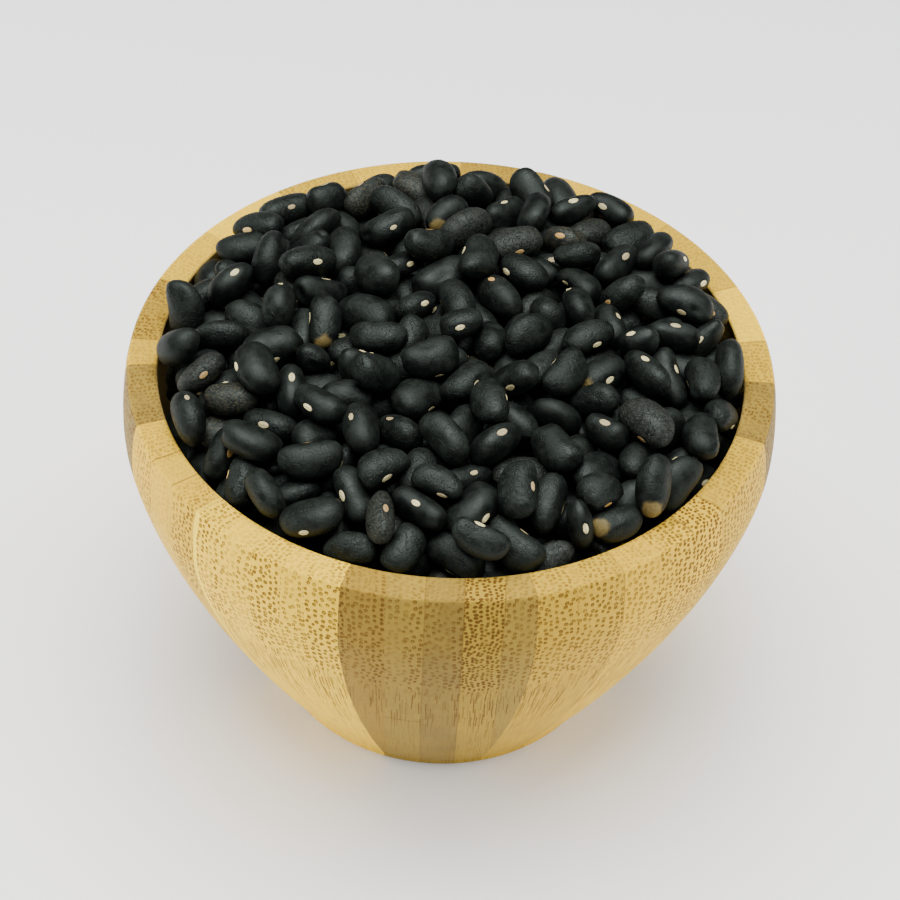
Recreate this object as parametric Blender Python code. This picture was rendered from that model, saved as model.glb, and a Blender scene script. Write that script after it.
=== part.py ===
"""A turned bamboo bowl, heaped with dried black beans.

Units are metres, +Z is up, and -Y is the front. The origin is the middle of the bowl's foot,
on the surface that it stands on. The bowl is one turned solid. The beans are one heap: a core
that fills the bowl, with every bean that shows fused onto it.
"""

import math

import bmesh
import bpy
import numpy as np
from mathutils import Matrix

# The bowl's outside: it swells from the foot to its widest height, then draws in to the rim
HEIGHT = 0.0838
FOOT_RADIUS = 0.0352
FOOT_ROUND = 0.0030
WIDEST_RADIUS = 0.0648
WIDEST_HEIGHT = 0.0712
SWELL = 1.4
RIM_RADIUS = 0.0635
RIM_ROUND = 0.0012

# The bowl's inside
MOUTH_RADIUS = 0.0584
MOUTH_ROUND = 0.0005
WALL = 0.0058
FLOOR = 0.0110
FLOOR_CORNER = 0.0180

# How finely the bowl is turned
BOWL_SIDES = 48
OUTER_STEPS = 7
INNER_STEPS = 6
ROUND_STEPS = 3

# One bean: its length, then its width from the scar to the back as a share of the length, and
# its thickness as a share of the width. A few are short and round.
BEAN_LENGTH = (0.0096, 0.0130)
BEAN_WIDTH = (0.57, 0.68)
BEAN_THICKNESS = (0.74, 0.88)
ROUND_SHARE = 0.10
ROUND_LENGTH = 0.0088
ROUND_WIDTH = 0.84
BEND = 0.13
BLUNTNESS = 2.4

# The heap, poured to a dome that starts a little above the rim
BEAN_COUNT = 545
DOME_RISE = 0.0074
DOME_EDGE = 0.0012
OVERHANG_HEIGHT = 0.0060
POUR_DEPTH = 0.0190
CLEARANCE = 0.0007
SEED = 3

# How beans lie, as means and spreads in radians. Most lie flat, and some lie on edge, with the
# scar up more often than down. The others stand steeply, rolled any way.
FLAT_SHARE = 0.50
FLAT_TIP = 0.22
FLAT_ROLL = 0.40
EDGE_SHARE = 0.34
EDGE_TIP = 0.25
EDGE_ROLL = (1.35, 0.35)
SCAR_UP_SHARE = 0.6
STEEP_TIP = (0.8, 0.25)

# How a bean finds its place over a field of square cells that holds the heap's height
CELL = 0.0005
REACH = 15
PLACES = 48
LEANS = 6
YAW_REACH = 0.6
NUDGES = 3
NUDGE_PLACES = 9
NUDGE_CELLS = 3
NUDGE_LEANS = 8
NUDGE_TURN = (0.15, 0.12, 0.20)
DECIMALS = 7
FAR = 1.0

# The beans of the solid heap: those that show over enough cells, with few sides, and so made
# larger to hold the same volume as a rounded bean
SHOWN_CELLS = 45
BEAN_SIDES = 6
BEAN_RINGS = 3
BEAN_SWELL = 1.07

# The core beneath them
CORE_SIDES = 40
CORE_RINGS = 9
CORE_WALL_STEPS = 3
CORE_INSET = 0.0006
CORE_SINK = 0.0028
CORE_EDGE_DROP = 0.0060
CORE_EDGE_HEIGHT = -0.0010
CORE_SMOOTHINGS = 9
SMOOTHING_REACH = 2

# Edges sharper than these, in degrees, stay sharp
BOWL_SHARP_ANGLE = 40.0
BEANS_SHARP_ANGLE = 50.0

BAMBOO = ("bamboo", (0.56, 0.38, 0.15, 1.0), 0.5)
BEAN_COAT = ("bean_coat", (0.020, 0.023, 0.022, 1.0), 0.45)


def clear_scene():
    """Removes every object of the open scene."""
    for obj in list(bpy.data.objects):
        bpy.data.objects.remove(obj, do_unlink=True)


def material(name, colour, roughness):
    """Returns a Principled material of one colour."""
    made = bpy.data.materials.new(name)
    made.use_nodes = True
    shader = made.node_tree.nodes["Principled BSDF"]
    shader.inputs["Base Color"].default_value = colour
    shader.inputs["Roughness"].default_value = roughness
    shader.inputs["Metallic"].default_value = 0.0
    made.diffuse_color = colour
    return made


def add_object(name, shape, finish, collection):
    """Links a bmesh into a collection as a named object with its material."""
    mesh = bpy.data.meshes.new(name)
    shape.to_mesh(mesh)
    shape.free()
    mesh.materials.append(finish)
    obj = bpy.data.objects.new(name, mesh)
    collection.objects.link(obj)
    return obj


def shade(obj, sharp_angle):
    """Shades an object smooth, apart from its edges sharper than an angle in degrees."""
    obj.data.shade_smooth()
    obj.data.set_sharp_from_angle(angle=math.radians(sharp_angle))


def outer_radius(height):
    """The bowl's outer radius at a height."""
    if height <= WIDEST_HEIGHT:
        left = 1.0 - height / WIDEST_HEIGHT
        return FOOT_RADIUS + (WIDEST_RADIUS - FOOT_RADIUS) * (1.0 - left**SWELL)
    over = (height - WIDEST_HEIGHT) / (HEIGHT - WIDEST_HEIGHT)
    return WIDEST_RADIUS - (WIDEST_RADIUS - RIM_RADIUS) * over**2


def inner_radius(height):
    """The bowl's inner radius at a height above its rounded floor."""
    over = max(0.0, (height - WIDEST_HEIGHT) / (HEIGHT - WIDEST_HEIGHT))
    rim_wall = RIM_RADIUS - MOUTH_RADIUS
    return outer_radius(height) - WALL + (WALL - rim_wall) * over


def arc(centre, radius, start, end, steps):
    """Points of a circular arc in the profile's plane, angles in degrees from +X towards +Z."""
    angles = [math.radians(start + (end - start) * i / steps) for i in range(steps + 1)]
    return [(centre[0] + radius * math.cos(a), centre[1] + radius * math.sin(a)) for a in angles]


def floor_corner(inset):
    """The rounded way from the inner wall down to the floor, drawn in from both by an inset."""
    top = FLOOR + FLOOR_CORNER
    points = []
    for i in range(1, ROUND_STEPS + 1):
        share = i / ROUND_STEPS
        out = inner_radius(top) - FLOOR_CORNER * share**2
        up = top - FLOOR_CORNER * (1.0 - (1.0 - share) ** 2)
        points.append((out - inset, up + inset))
    return points


def bowl_profile():
    """The wall's outline from the middle of the foot, up the outside, over the rim and down inside."""
    foot = outer_radius(FOOT_ROUND)
    lip_start = HEIGHT - RIM_ROUND
    points = [(0.0, 0.0)]
    points += arc((foot - FOOT_ROUND, FOOT_ROUND), FOOT_ROUND, -90.0, 0.0, ROUND_STEPS)
    rise = WIDEST_HEIGHT - FOOT_ROUND
    heights = [FOOT_ROUND + rise * i / OUTER_STEPS for i in range(1, OUTER_STEPS + 1)]
    heights.append((WIDEST_HEIGHT + lip_start) / 2.0)
    points += [(outer_radius(height), height) for height in heights]
    points += arc((RIM_RADIUS - RIM_ROUND, lip_start), RIM_ROUND, 0.0, 90.0, ROUND_STEPS)
    points += arc((MOUTH_RADIUS + MOUTH_ROUND, HEIGHT - MOUTH_ROUND), MOUTH_ROUND, 90.0, 180.0, 1)
    drop = WIDEST_HEIGHT - FLOOR - FLOOR_CORNER
    heights = [WIDEST_HEIGHT - drop * i / INNER_STEPS for i in range(INNER_STEPS + 1)]
    points += [(inner_radius(height), height) for height in heights]
    points += floor_corner(0.0)
    points.append((0.0, FLOOR))
    return points


def turned(points, sides):
    """A closed solid turned from a profile that starts and ends on the axis."""
    shape = bmesh.new()
    verts = [shape.verts.new((x, 0.0, z)) for x, z in points]
    edges = [shape.edges.new(pair) for pair in zip(verts, verts[1:])]
    bmesh.ops.spin(
        shape,
        geom=verts + edges,
        cent=(0.0, 0.0, 0.0),
        axis=(0.0, 0.0, 1.0),
        angle=math.tau,
        steps=sides,
        use_merge=True,
    )
    bmesh.ops.remove_doubles(shape, verts=shape.verts, dist=0.000001)
    bmesh.ops.recalc_face_normals(shape, faces=shape.faces)
    return shape


def dome_height(radius):
    """The height that the beans are poured to, at a distance from the axis."""
    return HEIGHT + DOME_EDGE + DOME_RISE * (1.0 - (radius / MOUTH_RADIUS) ** 2)


def turn_matrix(yaw, tip, roll):
    """Rotation of a bean: rolled about its length, tipped, then turned about the vertical."""
    turn = Matrix.Rotation(yaw, 3, "Z") @ Matrix.Rotation(tip, 3, "Y") @ Matrix.Rotation(roll, 3, "X")
    return np.array(turn)


def bean_surfaces(halves, turns, across, along):
    """Heights of a bean's lower and upper surface above its centre, for each turn, cell by cell.

    Outside the bean's plan the lower one is far up and the upper one far down, so neither counts.
    """
    stretch = turns / halves
    form = stretch @ np.transpose(stretch, (0, 2, 1))
    slope = form[:, 0, 2, None] * across + form[:, 1, 2, None] * along
    plan = (
        form[:, 0, 0, None] * across**2
        + 2.0 * form[:, 0, 1, None] * across * along
        + form[:, 1, 1, None] * along**2
        - 1.0
    )
    depth = slope**2 - form[:, 2, 2, None] * plan
    inside = depth > 0.0
    half = np.sqrt(np.where(inside, depth, 0.0))
    lower = np.where(inside, (-slope - half) / form[:, 2, 2, None], FAR)
    upper = np.where(inside, (-slope + half) / form[:, 2, 2, None], -FAR)
    return lower, upper


def best_rest(field, halves, leans, places, around):
    """The lowest rest, against the dome, of one bean among some leans and places.

    Returns the lean, the place and the height of the bean's centre.
    """
    turns = np.array([turn_matrix(*lean) for lean in leans])
    lower, _ = bean_surfaces(halves, turns, *(around * CELL))
    patch = field[places[:, 0, None] + around[0], places[:, 1, None] + around[1]]
    rest = np.round((patch[:, None] - lower[None]).max(axis=2), DECIMALS)
    middle = (len(field) - 1) / 2.0
    radius = np.hypot(*(places - middle).T) * CELL
    over = rest - dome_height(radius)[:, None]
    place, lean = np.unravel_index(np.argmin(np.round(over, DECIMALS)), over.shape)
    return leans[lean], places[place], rest[place, lean]


def draw_bean(rng):
    """The half sizes of one bean: length, width and thickness."""
    length = rng.triangular(BEAN_LENGTH[0], sum(BEAN_LENGTH) / 2.0, BEAN_LENGTH[1])
    width = length * rng.uniform(*BEAN_WIDTH)
    if rng.random() < ROUND_SHARE:
        length = ROUND_LENGTH
        width = length * ROUND_WIDTH
    thickness = width * rng.uniform(*BEAN_THICKNESS)
    return np.array([length, width, thickness]) / 2.0


def draw_lean(rng):
    """How a bean lies: its yaw, tip and roll."""
    yaw = rng.uniform(0.0, math.tau)
    kind = rng.random()
    if kind < FLAT_SHARE:
        return yaw, rng.normal(0.0, FLAT_TIP), rng.normal(0.0, FLAT_ROLL)
    if kind < FLAT_SHARE + EDGE_SHARE:
        side = 1.0 if rng.random() < SCAR_UP_SHARE else -1.0
        return yaw, rng.normal(0.0, EDGE_TIP), side * rng.normal(*EDGE_ROLL)
    return yaw, rng.normal(*STEEP_TIP), rng.uniform(0.0, math.tau)


def first_leans(rng):
    """A few leans for one bean that differ in yaw."""
    yaw, tip, roll = draw_lean(rng)
    return [(yaw + rng.uniform(-YAW_REACH, YAW_REACH), tip, roll) for _ in range(LEANS)]


def first_places(rng, halves, middle):
    """Cells where one bean may come down, spread evenly over the mouth."""
    out = (MOUTH_RADIUS - halves[2]) * np.sqrt(rng.random(PLACES))
    way = rng.uniform(0.0, math.tau, PLACES)
    places = np.stack([out * np.cos(way), out * np.sin(way)], axis=1)
    return middle + np.round(places / CELL).astype(int)


def nudged(rng, lean, place, last):
    """Leans and cells close to the given ones, which come first."""
    turns = [[rng.normal(0.0, spread) for spread in NUDGE_TURN] for _ in range(NUDGE_LEANS)]
    leans = [lean] + [tuple(np.add(lean, turn)) for turn in turns]
    shift = rng.integers(-NUDGE_CELLS, NUDGE_CELLS + 1, (NUDGE_PLACES, 2))
    places = np.vstack([place, place + shift])
    return leans, np.clip(places, REACH, last - REACH)


def settle_beans():
    """Pours the beans one at a time: each takes the lowest rest that it finds on those before it.

    Returns (centre, half sizes, turn) of each bean, the field of heights, and for each cell the
    number of the bean that shows there.
    """
    rng = np.random.default_rng(SEED)
    middle = math.ceil(RIM_RADIUS / CELL) + REACH
    last = 2 * middle
    radius = np.hypot(*(np.indices((last + 1, last + 1)) - middle)) * CELL
    inside = radius < MOUTH_RADIUS - CLEARANCE - CELL / 2.0
    field = np.where(inside, dome_height(radius) - POUR_DEPTH, HEIGHT + OVERHANG_HEIGHT)
    shown = np.full(field.shape, -1)
    around = np.indices((2 * REACH + 1, 2 * REACH + 1)).reshape(2, -1) - REACH
    beans = []
    for number in range(BEAN_COUNT):
        halves = draw_bean(rng)
        leans = first_leans(rng)
        lean, place, rest = best_rest(field, halves, leans, first_places(rng, halves, middle), around)
        for _ in range(NUDGES):
            leans, places = nudged(rng, lean, place, last)
            lean, place, rest = best_rest(field, halves, leans, places, around)
        turn = turn_matrix(*lean)
        top = rest + bean_surfaces(halves, turn[None], *(around * CELL))[1][0]
        cells = (place[0] + around[0], place[1] + around[1])
        higher = top > field[cells]
        field[cells] = np.where(higher, top, field[cells])
        shown[cells] = np.where(higher, number, shown[cells])
        beans.append((np.append((place - middle) * CELL, rest), halves, turn))
    return beans, field, shown


def smoothed(field):
    """The field of heights, averaged with its neighbours a number of times."""
    width = 2 * SMOOTHING_REACH + 1
    for _ in range(CORE_SMOOTHINGS):
        for axis in (1, 0):
            padding = [(0, 0), (0, 0)]
            padding[axis] = (SMOOTHING_REACH, SMOOTHING_REACH)
            padded = np.pad(field, padding, mode="edge")
            field = np.lib.stride_tricks.sliding_window_view(padded, width, axis=axis).mean(axis=2)
    return field


def heap_core(field):
    """The solid beneath the beans: it fills the bowl, and its top follows the heap a bit lower."""
    limit = MOUTH_RADIUS - CLEARANCE
    middle = (len(field) - 1) // 2
    beyond = np.hypot(*(np.indices(field.shape) - middle)) * CELL > limit - CELL
    calm = smoothed(np.where(beyond, HEIGHT + CORE_EDGE_HEIGHT, field)) - CORE_SINK
    wall_foot = FLOOR + FLOOR_CORNER
    wall_top = HEIGHT - CORE_EDGE_DROP
    points = [(0.0, FLOOR + CLEARANCE)] + floor_corner(CLEARANCE)[::-1]
    for i in range(CORE_WALL_STEPS + 1):
        height = wall_foot + (wall_top - wall_foot) * i / CORE_WALL_STEPS
        points.append((min(inner_radius(height) - 2.0 * CLEARANCE, limit - CORE_INSET), height))
    edge = points[-1][0]
    points += [(edge * (1.0 - i / CORE_RINGS), HEIGHT) for i in range(1, CORE_RINGS + 1)]
    shape = turned(points, CORE_SIDES)
    for vert in shape.verts:
        if vert.co.z > (wall_top + HEIGHT) / 2.0:
            vert.co.z = calm[middle + round(vert.co.x / CELL), middle + round(vert.co.y / CELL)]
    return shape


def bean_shape(centre, halves, turn):
    """A closed bean with few sides: blunt, and bent a little round its scar, on its -Y side."""
    shape = bmesh.new()
    upright = Matrix.Rotation(math.pi / 2.0, 4, "Y")
    bmesh.ops.create_uvsphere(shape, u_segments=BEAN_SIDES, v_segments=BEAN_RINGS, radius=1.0, matrix=upright)
    place = Matrix(turn.tolist())
    half_sizes = BEAN_SWELL * halves
    for vert in shape.verts:
        across = math.hypot(vert.co.y, vert.co.z)
        vert.co *= (abs(vert.co.x) ** BLUNTNESS + across**BLUNTNESS) ** (-1.0 / BLUNTNESS)
        vert.co.y += BEND * (0.5 - 2.0 * vert.co.x**2)
        vert.co = place @ type(vert.co)(half_sizes * vert.co)
        vert.co += type(vert.co)(centre)
    return shape


def shells_of(shape):
    """The faces of each closed shell of a mesh, the largest shell last."""
    unseen = set(shape.faces)
    shells = []
    while unseen:
        front = [unseen.pop()]
        shell = []
        while front:
            face = front.pop()
            shell.append(face)
            beside = {other for edge in face.edges for other in edge.link_faces} & unseen
            unseen -= beside
            front += beside
        shells.append(shell)
    return sorted(shells, key=len)


def fuse(core, beans, finish):
    """Joins the beans to the core with one union, and keeps only the outer shell of the result."""
    poured = bpy.data.collections.new("poured")
    bpy.context.scene.collection.children.link(poured)
    for number, bean in enumerate(beans):
        add_object("poured_%03d" % number, bean_shape(*bean), finish, poured)
    union = core.modifiers.new("poured", "BOOLEAN")
    union.operation = "UNION"
    union.operand_type = "COLLECTION"
    union.collection = poured
    union.solver = "EXACT"
    graph = bpy.context.evaluated_depsgraph_get()
    core.data = bpy.data.meshes.new_from_object(core.evaluated_get(graph))
    core.modifiers.clear()
    for obj in list(poured.objects):
        bpy.data.objects.remove(obj, do_unlink=True)
    bpy.data.collections.remove(poured)
    shape = bmesh.new()
    shape.from_mesh(core.data)
    in_line = [vert for vert in shape.verts if len(vert.link_edges) == 2]
    bmesh.ops.dissolve_verts(shape, verts=in_line)
    bmesh.ops.triangulate(shape, faces=shape.faces)
    for shell in shells_of(shape)[:-1]:
        bmesh.ops.delete(shape, geom=shell, context="FACES")
    shape.to_mesh(core.data)
    shape.free()


def make_bowl():
    """The turned bamboo bowl."""
    shape = turned(bowl_profile(), BOWL_SIDES)
    bowl = add_object("bowl", shape, material(*BAMBOO), bpy.context.scene.collection)
    shade(bowl, BOWL_SHARP_ANGLE)


def make_beans():
    """The heap: the core, and on it each bean that shows over enough cells."""
    beans, field, shown = settle_beans()
    cells = np.bincount(shown[shown >= 0], minlength=len(beans))
    showing = [bean for bean, count in zip(beans, cells) if count >= SHOWN_CELLS]
    finish = material(*BEAN_COAT)
    heap = add_object("beans", heap_core(field), finish, bpy.context.scene.collection)
    fuse(heap, showing, finish)
    shade(heap, BEANS_SHARP_ANGLE)


clear_scene()
make_bowl()
make_beans()
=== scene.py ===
"""The looks of a turned bamboo bowl, heaped with dried black beans.

Units are metres, +Z is up and -Y is the front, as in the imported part. The bowl stands on the
origin. It is turned finely here and gets its laminated bamboo. The heap is poured again, bean
by bean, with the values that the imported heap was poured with, so each real bean lies where its
solid does.
"""

import logging
import math
from collections.abc import Callable
from dataclasses import dataclass, field
from enum import Enum
from typing import Any

import bmesh
import bpy
import numpy as np
from mathutils import Matrix, Vector


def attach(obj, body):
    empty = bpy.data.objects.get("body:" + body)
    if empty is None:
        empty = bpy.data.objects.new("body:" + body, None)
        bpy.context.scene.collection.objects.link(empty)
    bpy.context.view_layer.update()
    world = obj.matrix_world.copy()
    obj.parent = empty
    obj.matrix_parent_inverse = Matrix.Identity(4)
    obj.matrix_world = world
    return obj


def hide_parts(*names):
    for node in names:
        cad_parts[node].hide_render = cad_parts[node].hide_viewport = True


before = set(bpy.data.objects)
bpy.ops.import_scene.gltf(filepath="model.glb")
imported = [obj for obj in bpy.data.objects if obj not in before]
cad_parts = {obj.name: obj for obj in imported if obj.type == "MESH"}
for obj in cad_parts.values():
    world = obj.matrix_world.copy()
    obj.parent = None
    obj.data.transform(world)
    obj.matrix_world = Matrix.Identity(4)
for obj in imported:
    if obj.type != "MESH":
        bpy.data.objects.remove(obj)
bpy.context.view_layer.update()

LOG = logging.getLogger("bowl_of_beans")
BODY = "root"
MM = 0.001
WELD = 0.000001

Colour = tuple[float, float, float]
Range = tuple[float, float]
Fade = tuple[float, float, float, float]
Noise = tuple[float, float, float]
Point = tuple[float, float]
Place = tuple[float, float, float]
Lean = tuple[float, float, float]
Socket = bpy.types.NodeSocket


class Graph:
    """The nodes of one material, ending in its Principled shader."""

    def __init__(self, name: str) -> None:
        """Makes an empty material.

        Args:
            name: The material's name.
        """
        self.material = bpy.data.materials.new(name)
        self.material.use_nodes = True
        self.tree = self.material.node_tree
        self.shader = self.tree.nodes["Principled BSDF"]

    def node(self, kind: str, **settings: Any) -> bpy.types.Node:
        """Adds a node.

        Args:
            kind: The node's type.
            settings: Its properties.

        Returns:
            The node.
        """
        made = self.tree.nodes.new(kind)
        for name, value in settings.items():
            setattr(made, name, value)
        return made

    def feed(self, target: Socket, value: Any) -> None:
        """Links a socket to an input, or sets the input to a number or colour.

        Args:
            target: The input.
            value: A socket, a number, or a colour or vector of three numbers.
        """
        if isinstance(value, bpy.types.NodeSocket):
            self.tree.links.new(value, target)
        elif isinstance(value, tuple) and target.type == "RGBA":
            target.default_value = (*value, 1.0)
        else:
            target.default_value = value

    def wired(self, made: bpy.types.Node, values: tuple, inputs: Any = range(5), output: int = 0) -> Socket:
        """Feeds some of a node's inputs.

        Args:
            made: The node.
            values: What its inputs get.
            inputs: The inputs' numbers or names.
            output: The number of the output that is wanted.

        Returns:
            That output.
        """
        for place, value in zip(inputs, values):
            self.feed(made.inputs[place], value)
        return made.outputs[output]

    def math(self, operation: str, *values: Any, clamp: bool = False) -> Socket:
        """Adds a Math node, whose result may be kept from 0 to 1."""
        return self.wired(self.node("ShaderNodeMath", operation=operation, use_clamp=clamp), values)

    def times(self, first: Any, second: Any) -> Socket:
        """Multiplies two numbers."""
        return self.math("MULTIPLY", first, second)

    def plus(self, first: Any, second: Any) -> Socket:
        """Adds two numbers."""
        return self.math("ADD", first, second)

    def minus(self, first: Any, second: Any) -> Socket:
        """Takes the second number from the first."""
        return self.math("SUBTRACT", first, second)

    def scaled(self, value: Any, factor: Any, start: Any) -> Socket:
        """Multiplies a number by a factor and adds it to a start."""
        return self.math("MULTIPLY_ADD", value, factor, start)

    def apart(self, first: Any, second: Any) -> Socket:
        """How far two numbers are apart."""
        return self.math("ABSOLUTE", self.minus(first, second))

    def between(self, value: Socket, low: float, high: float) -> Socket:
        """Gives 1 where a number lies between two others, and 0 elsewhere."""
        return self.times(self.math("GREATER_THAN", value, low), self.math("LESS_THAN", value, high))

    def fade(self, value: Any, start: Any, end: Any, low: float = 0.0, high: float = 1.0) -> Socket:
        """Turns smoothly from the low number to the high one as a value goes from start to end."""
        made = self.node("ShaderNodeMapRange", interpolation_type="SMOOTHSTEP")
        return self.wired(made, (value, start, end, low, high))

    def mix(self, share: Any, first: Any, second: Any, blend: str = "MIX") -> Socket:
        """Mixes two colours, with a share of the second."""
        made = self.node("ShaderNodeMix", data_type="RGBA", blend_type=blend)
        return self.wired(made, (share, first, second), inputs=(0, 6, 7), output=2)

    def blend(self, share: Any, first: Any, second: Any) -> Socket:
        """Mixes two numbers, with a share of the second."""
        made = self.node("ShaderNodeMix", data_type="FLOAT")
        return self.wired(made, (share, first, second), inputs=(0, 2, 3))

    def vector(self, across: Any, along: Any, up: Any = 0.0) -> Socket:
        """Joins three numbers to a vector."""
        return self.wired(self.node("ShaderNodeCombineXYZ"), (across, along, up))

    def parts(self, vector: Socket) -> list[Socket]:
        """Splits a vector into its three numbers.

        Args:
            vector: The vector.

        Returns:
            Its three numbers.
        """
        made = self.node("ShaderNodeSeparateXYZ")
        self.feed(made.inputs[0], vector)
        return list(made.outputs)

    def noise(self, place: Socket, scale: float, detail: float, roughness: float) -> Socket:
        """Gives a noise from 0 to 1, with so many lumps in a unit, finer layers, and their strength."""
        made = self.node("ShaderNodeTexNoise")
        return self.wired(made, (place, scale, detail, roughness), ("Vector", "Scale", "Detail", "Roughness"))

    def attribute(self, name: str, output: str = "Fac") -> Socket:
        """Reads a number that the mesh holds, or a vector where the output is Vector."""
        return self.node("ShaderNodeAttribute", attribute_name=name).outputs[output]

    def bump(self, height: Socket, depth: float) -> None:
        """Gives the shader a relief.

        Args:
            height: The relief, from 0 to 1.
            depth: How high it is, in metres.
        """
        made = self.node("ShaderNodeBump")
        self.wired(made, (height, depth), ("Height", "Distance"))
        self.feed(self.shader.inputs["Normal"], made.outputs["Normal"])

    def finish(self, colour: Any, roughness: Any, specular: float | None = None) -> bpy.types.Material:
        """Gives the shader its colour and sheen.

        Args:
            colour: The colour.
            roughness: The roughness.
            specular: The strength of the highlights, where it isn't the usual one.

        Returns:
            The material.
        """
        self.feed(self.shader.inputs["Base Color"], colour)
        self.feed(self.shader.inputs["Roughness"], roughness)
        if specular is not None:
            self.feed(self.shader.inputs["Specular IOR Level"], specular)
        return self.material


class Tone(Enum):
    """The tones of the bamboo strips, as linear colours."""

    STRAW = (0.750, 0.470, 0.022)
    HONEY = (0.540, 0.330, 0.020)
    AMBER = (0.430, 0.265, 0.022)
    GOLDEN = (0.285, 0.186, 0.023)
    CARAMEL = (0.212, 0.130, 0.022)
    TAN = (0.224, 0.148, 0.028)
    GREYED = (0.164, 0.109, 0.027)
    DUSKY = (0.110, 0.079, 0.030)
    PALE = (0.930, 0.660, 0.045)
    UMBER = (0.150, 0.085, 0.018)


@dataclass(frozen=True)
class Strip:
    """A strip of bamboo: its start in millimetres, its tone, and how strong and fine its vessels are."""

    start: float
    tone: Tone
    dots: float
    fine: float = 0.0


Reading = Callable[[Strip], Colour]


@dataclass(frozen=True)
class Seam:
    """A thin seam: its place and half width in millimetres, and how strong it is on wall and rim."""

    place: float
    half_width: float
    tone: Tone
    shares: Range
    softness: Range = (1.4, 0.6)


FRONT_STRIPS = (
    Strip(-25.0, Tone.CARAMEL, 0.90),
    Strip(-12.2, Tone.CARAMEL, 1.15, 0.30),
    Strip(-9.85, Tone.TAN, 0.80),
    Strip(-5.4, Tone.TAN, 1.05),
    Strip(-2.85, Tone.GREYED, 0.85),
    Strip(2.0, Tone.GREYED, 1.10),
    Strip(4.2, Tone.GOLDEN, 1.30, 1.00),
    Strip(11.4, Tone.TAN, 0.95),
)

SIDE_STRIPS = (
    Strip(-200.0, Tone.HONEY, 0.60),
    Strip(-176.0, Tone.AMBER, 0.70, 0.30),
    Strip(-158.0, Tone.STRAW, 0.25),
    Strip(-139.0, Tone.HONEY, 0.55),
    Strip(-121.0, Tone.CARAMEL, 0.95, 0.60),
    Strip(-102.0, Tone.AMBER, 0.60),
    Strip(-94.0, Tone.DUSKY, 1.00, 0.30),
    Strip(-78.0, Tone.HONEY, 0.70, 0.30),
    Strip(-66.5, Tone.HONEY, 0.30),
    Strip(-58.8, Tone.HONEY, 1.00, 0.30),
    Strip(-50.2, Tone.STRAW, 1.25, 0.15),
    Strip(-44.0, Tone.STRAW, 0.90),
    Strip(-36.0, Tone.STRAW, 1.25, 0.05),
    Strip(-31.0, Tone.STRAW, 0.95),
    Strip(-26.0, Tone.STRAW, 1.30, 0.05),
    Strip(16.0, Tone.AMBER, 1.05, 0.15),
    Strip(24.0, Tone.AMBER, 1.20),
    Strip(33.0, Tone.HONEY, 0.80),
    Strip(42.0, Tone.HONEY, 1.20, 0.30),
    Strip(51.2, Tone.HONEY, 1.30, 0.50),
    Strip(58.0, Tone.AMBER, 1.00),
    Strip(79.0, Tone.DUSKY, 1.00, 0.40),
    Strip(96.0, Tone.AMBER, 0.80, 0.20),
    Strip(108.0, Tone.STRAW, 0.35),
    Strip(126.0, Tone.AMBER, 0.60),
    Strip(150.0, Tone.HONEY, 0.35),
    Strip(178.0, Tone.CARAMEL, 0.60, 0.30),
)

SEAMS = (
    Seam(-66.5, 0.16, Tone.UMBER, (0.20, 0.75)),
    Seam(-58.8, 0.16, Tone.UMBER, (0.20, 0.75)),
    Seam(-50.1, 0.50, Tone.PALE, (0.80, 0.35)),
    Seam(51.1, 0.16, Tone.UMBER, (0.20, 0.75)),
)


@dataclass(frozen=True)
class Board:
    """What the bamboo's patterns are read from: places, in metres or as named, and shares from 0 to 1."""

    graph: Graph
    place: Socket
    x: Socket
    x_mm: Socket
    height: Socket
    across: Socket
    along: Socket
    round_mm: Socket
    front: Socket
    on_top: Socket
    low: Socket
    ragged: Socket


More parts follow.
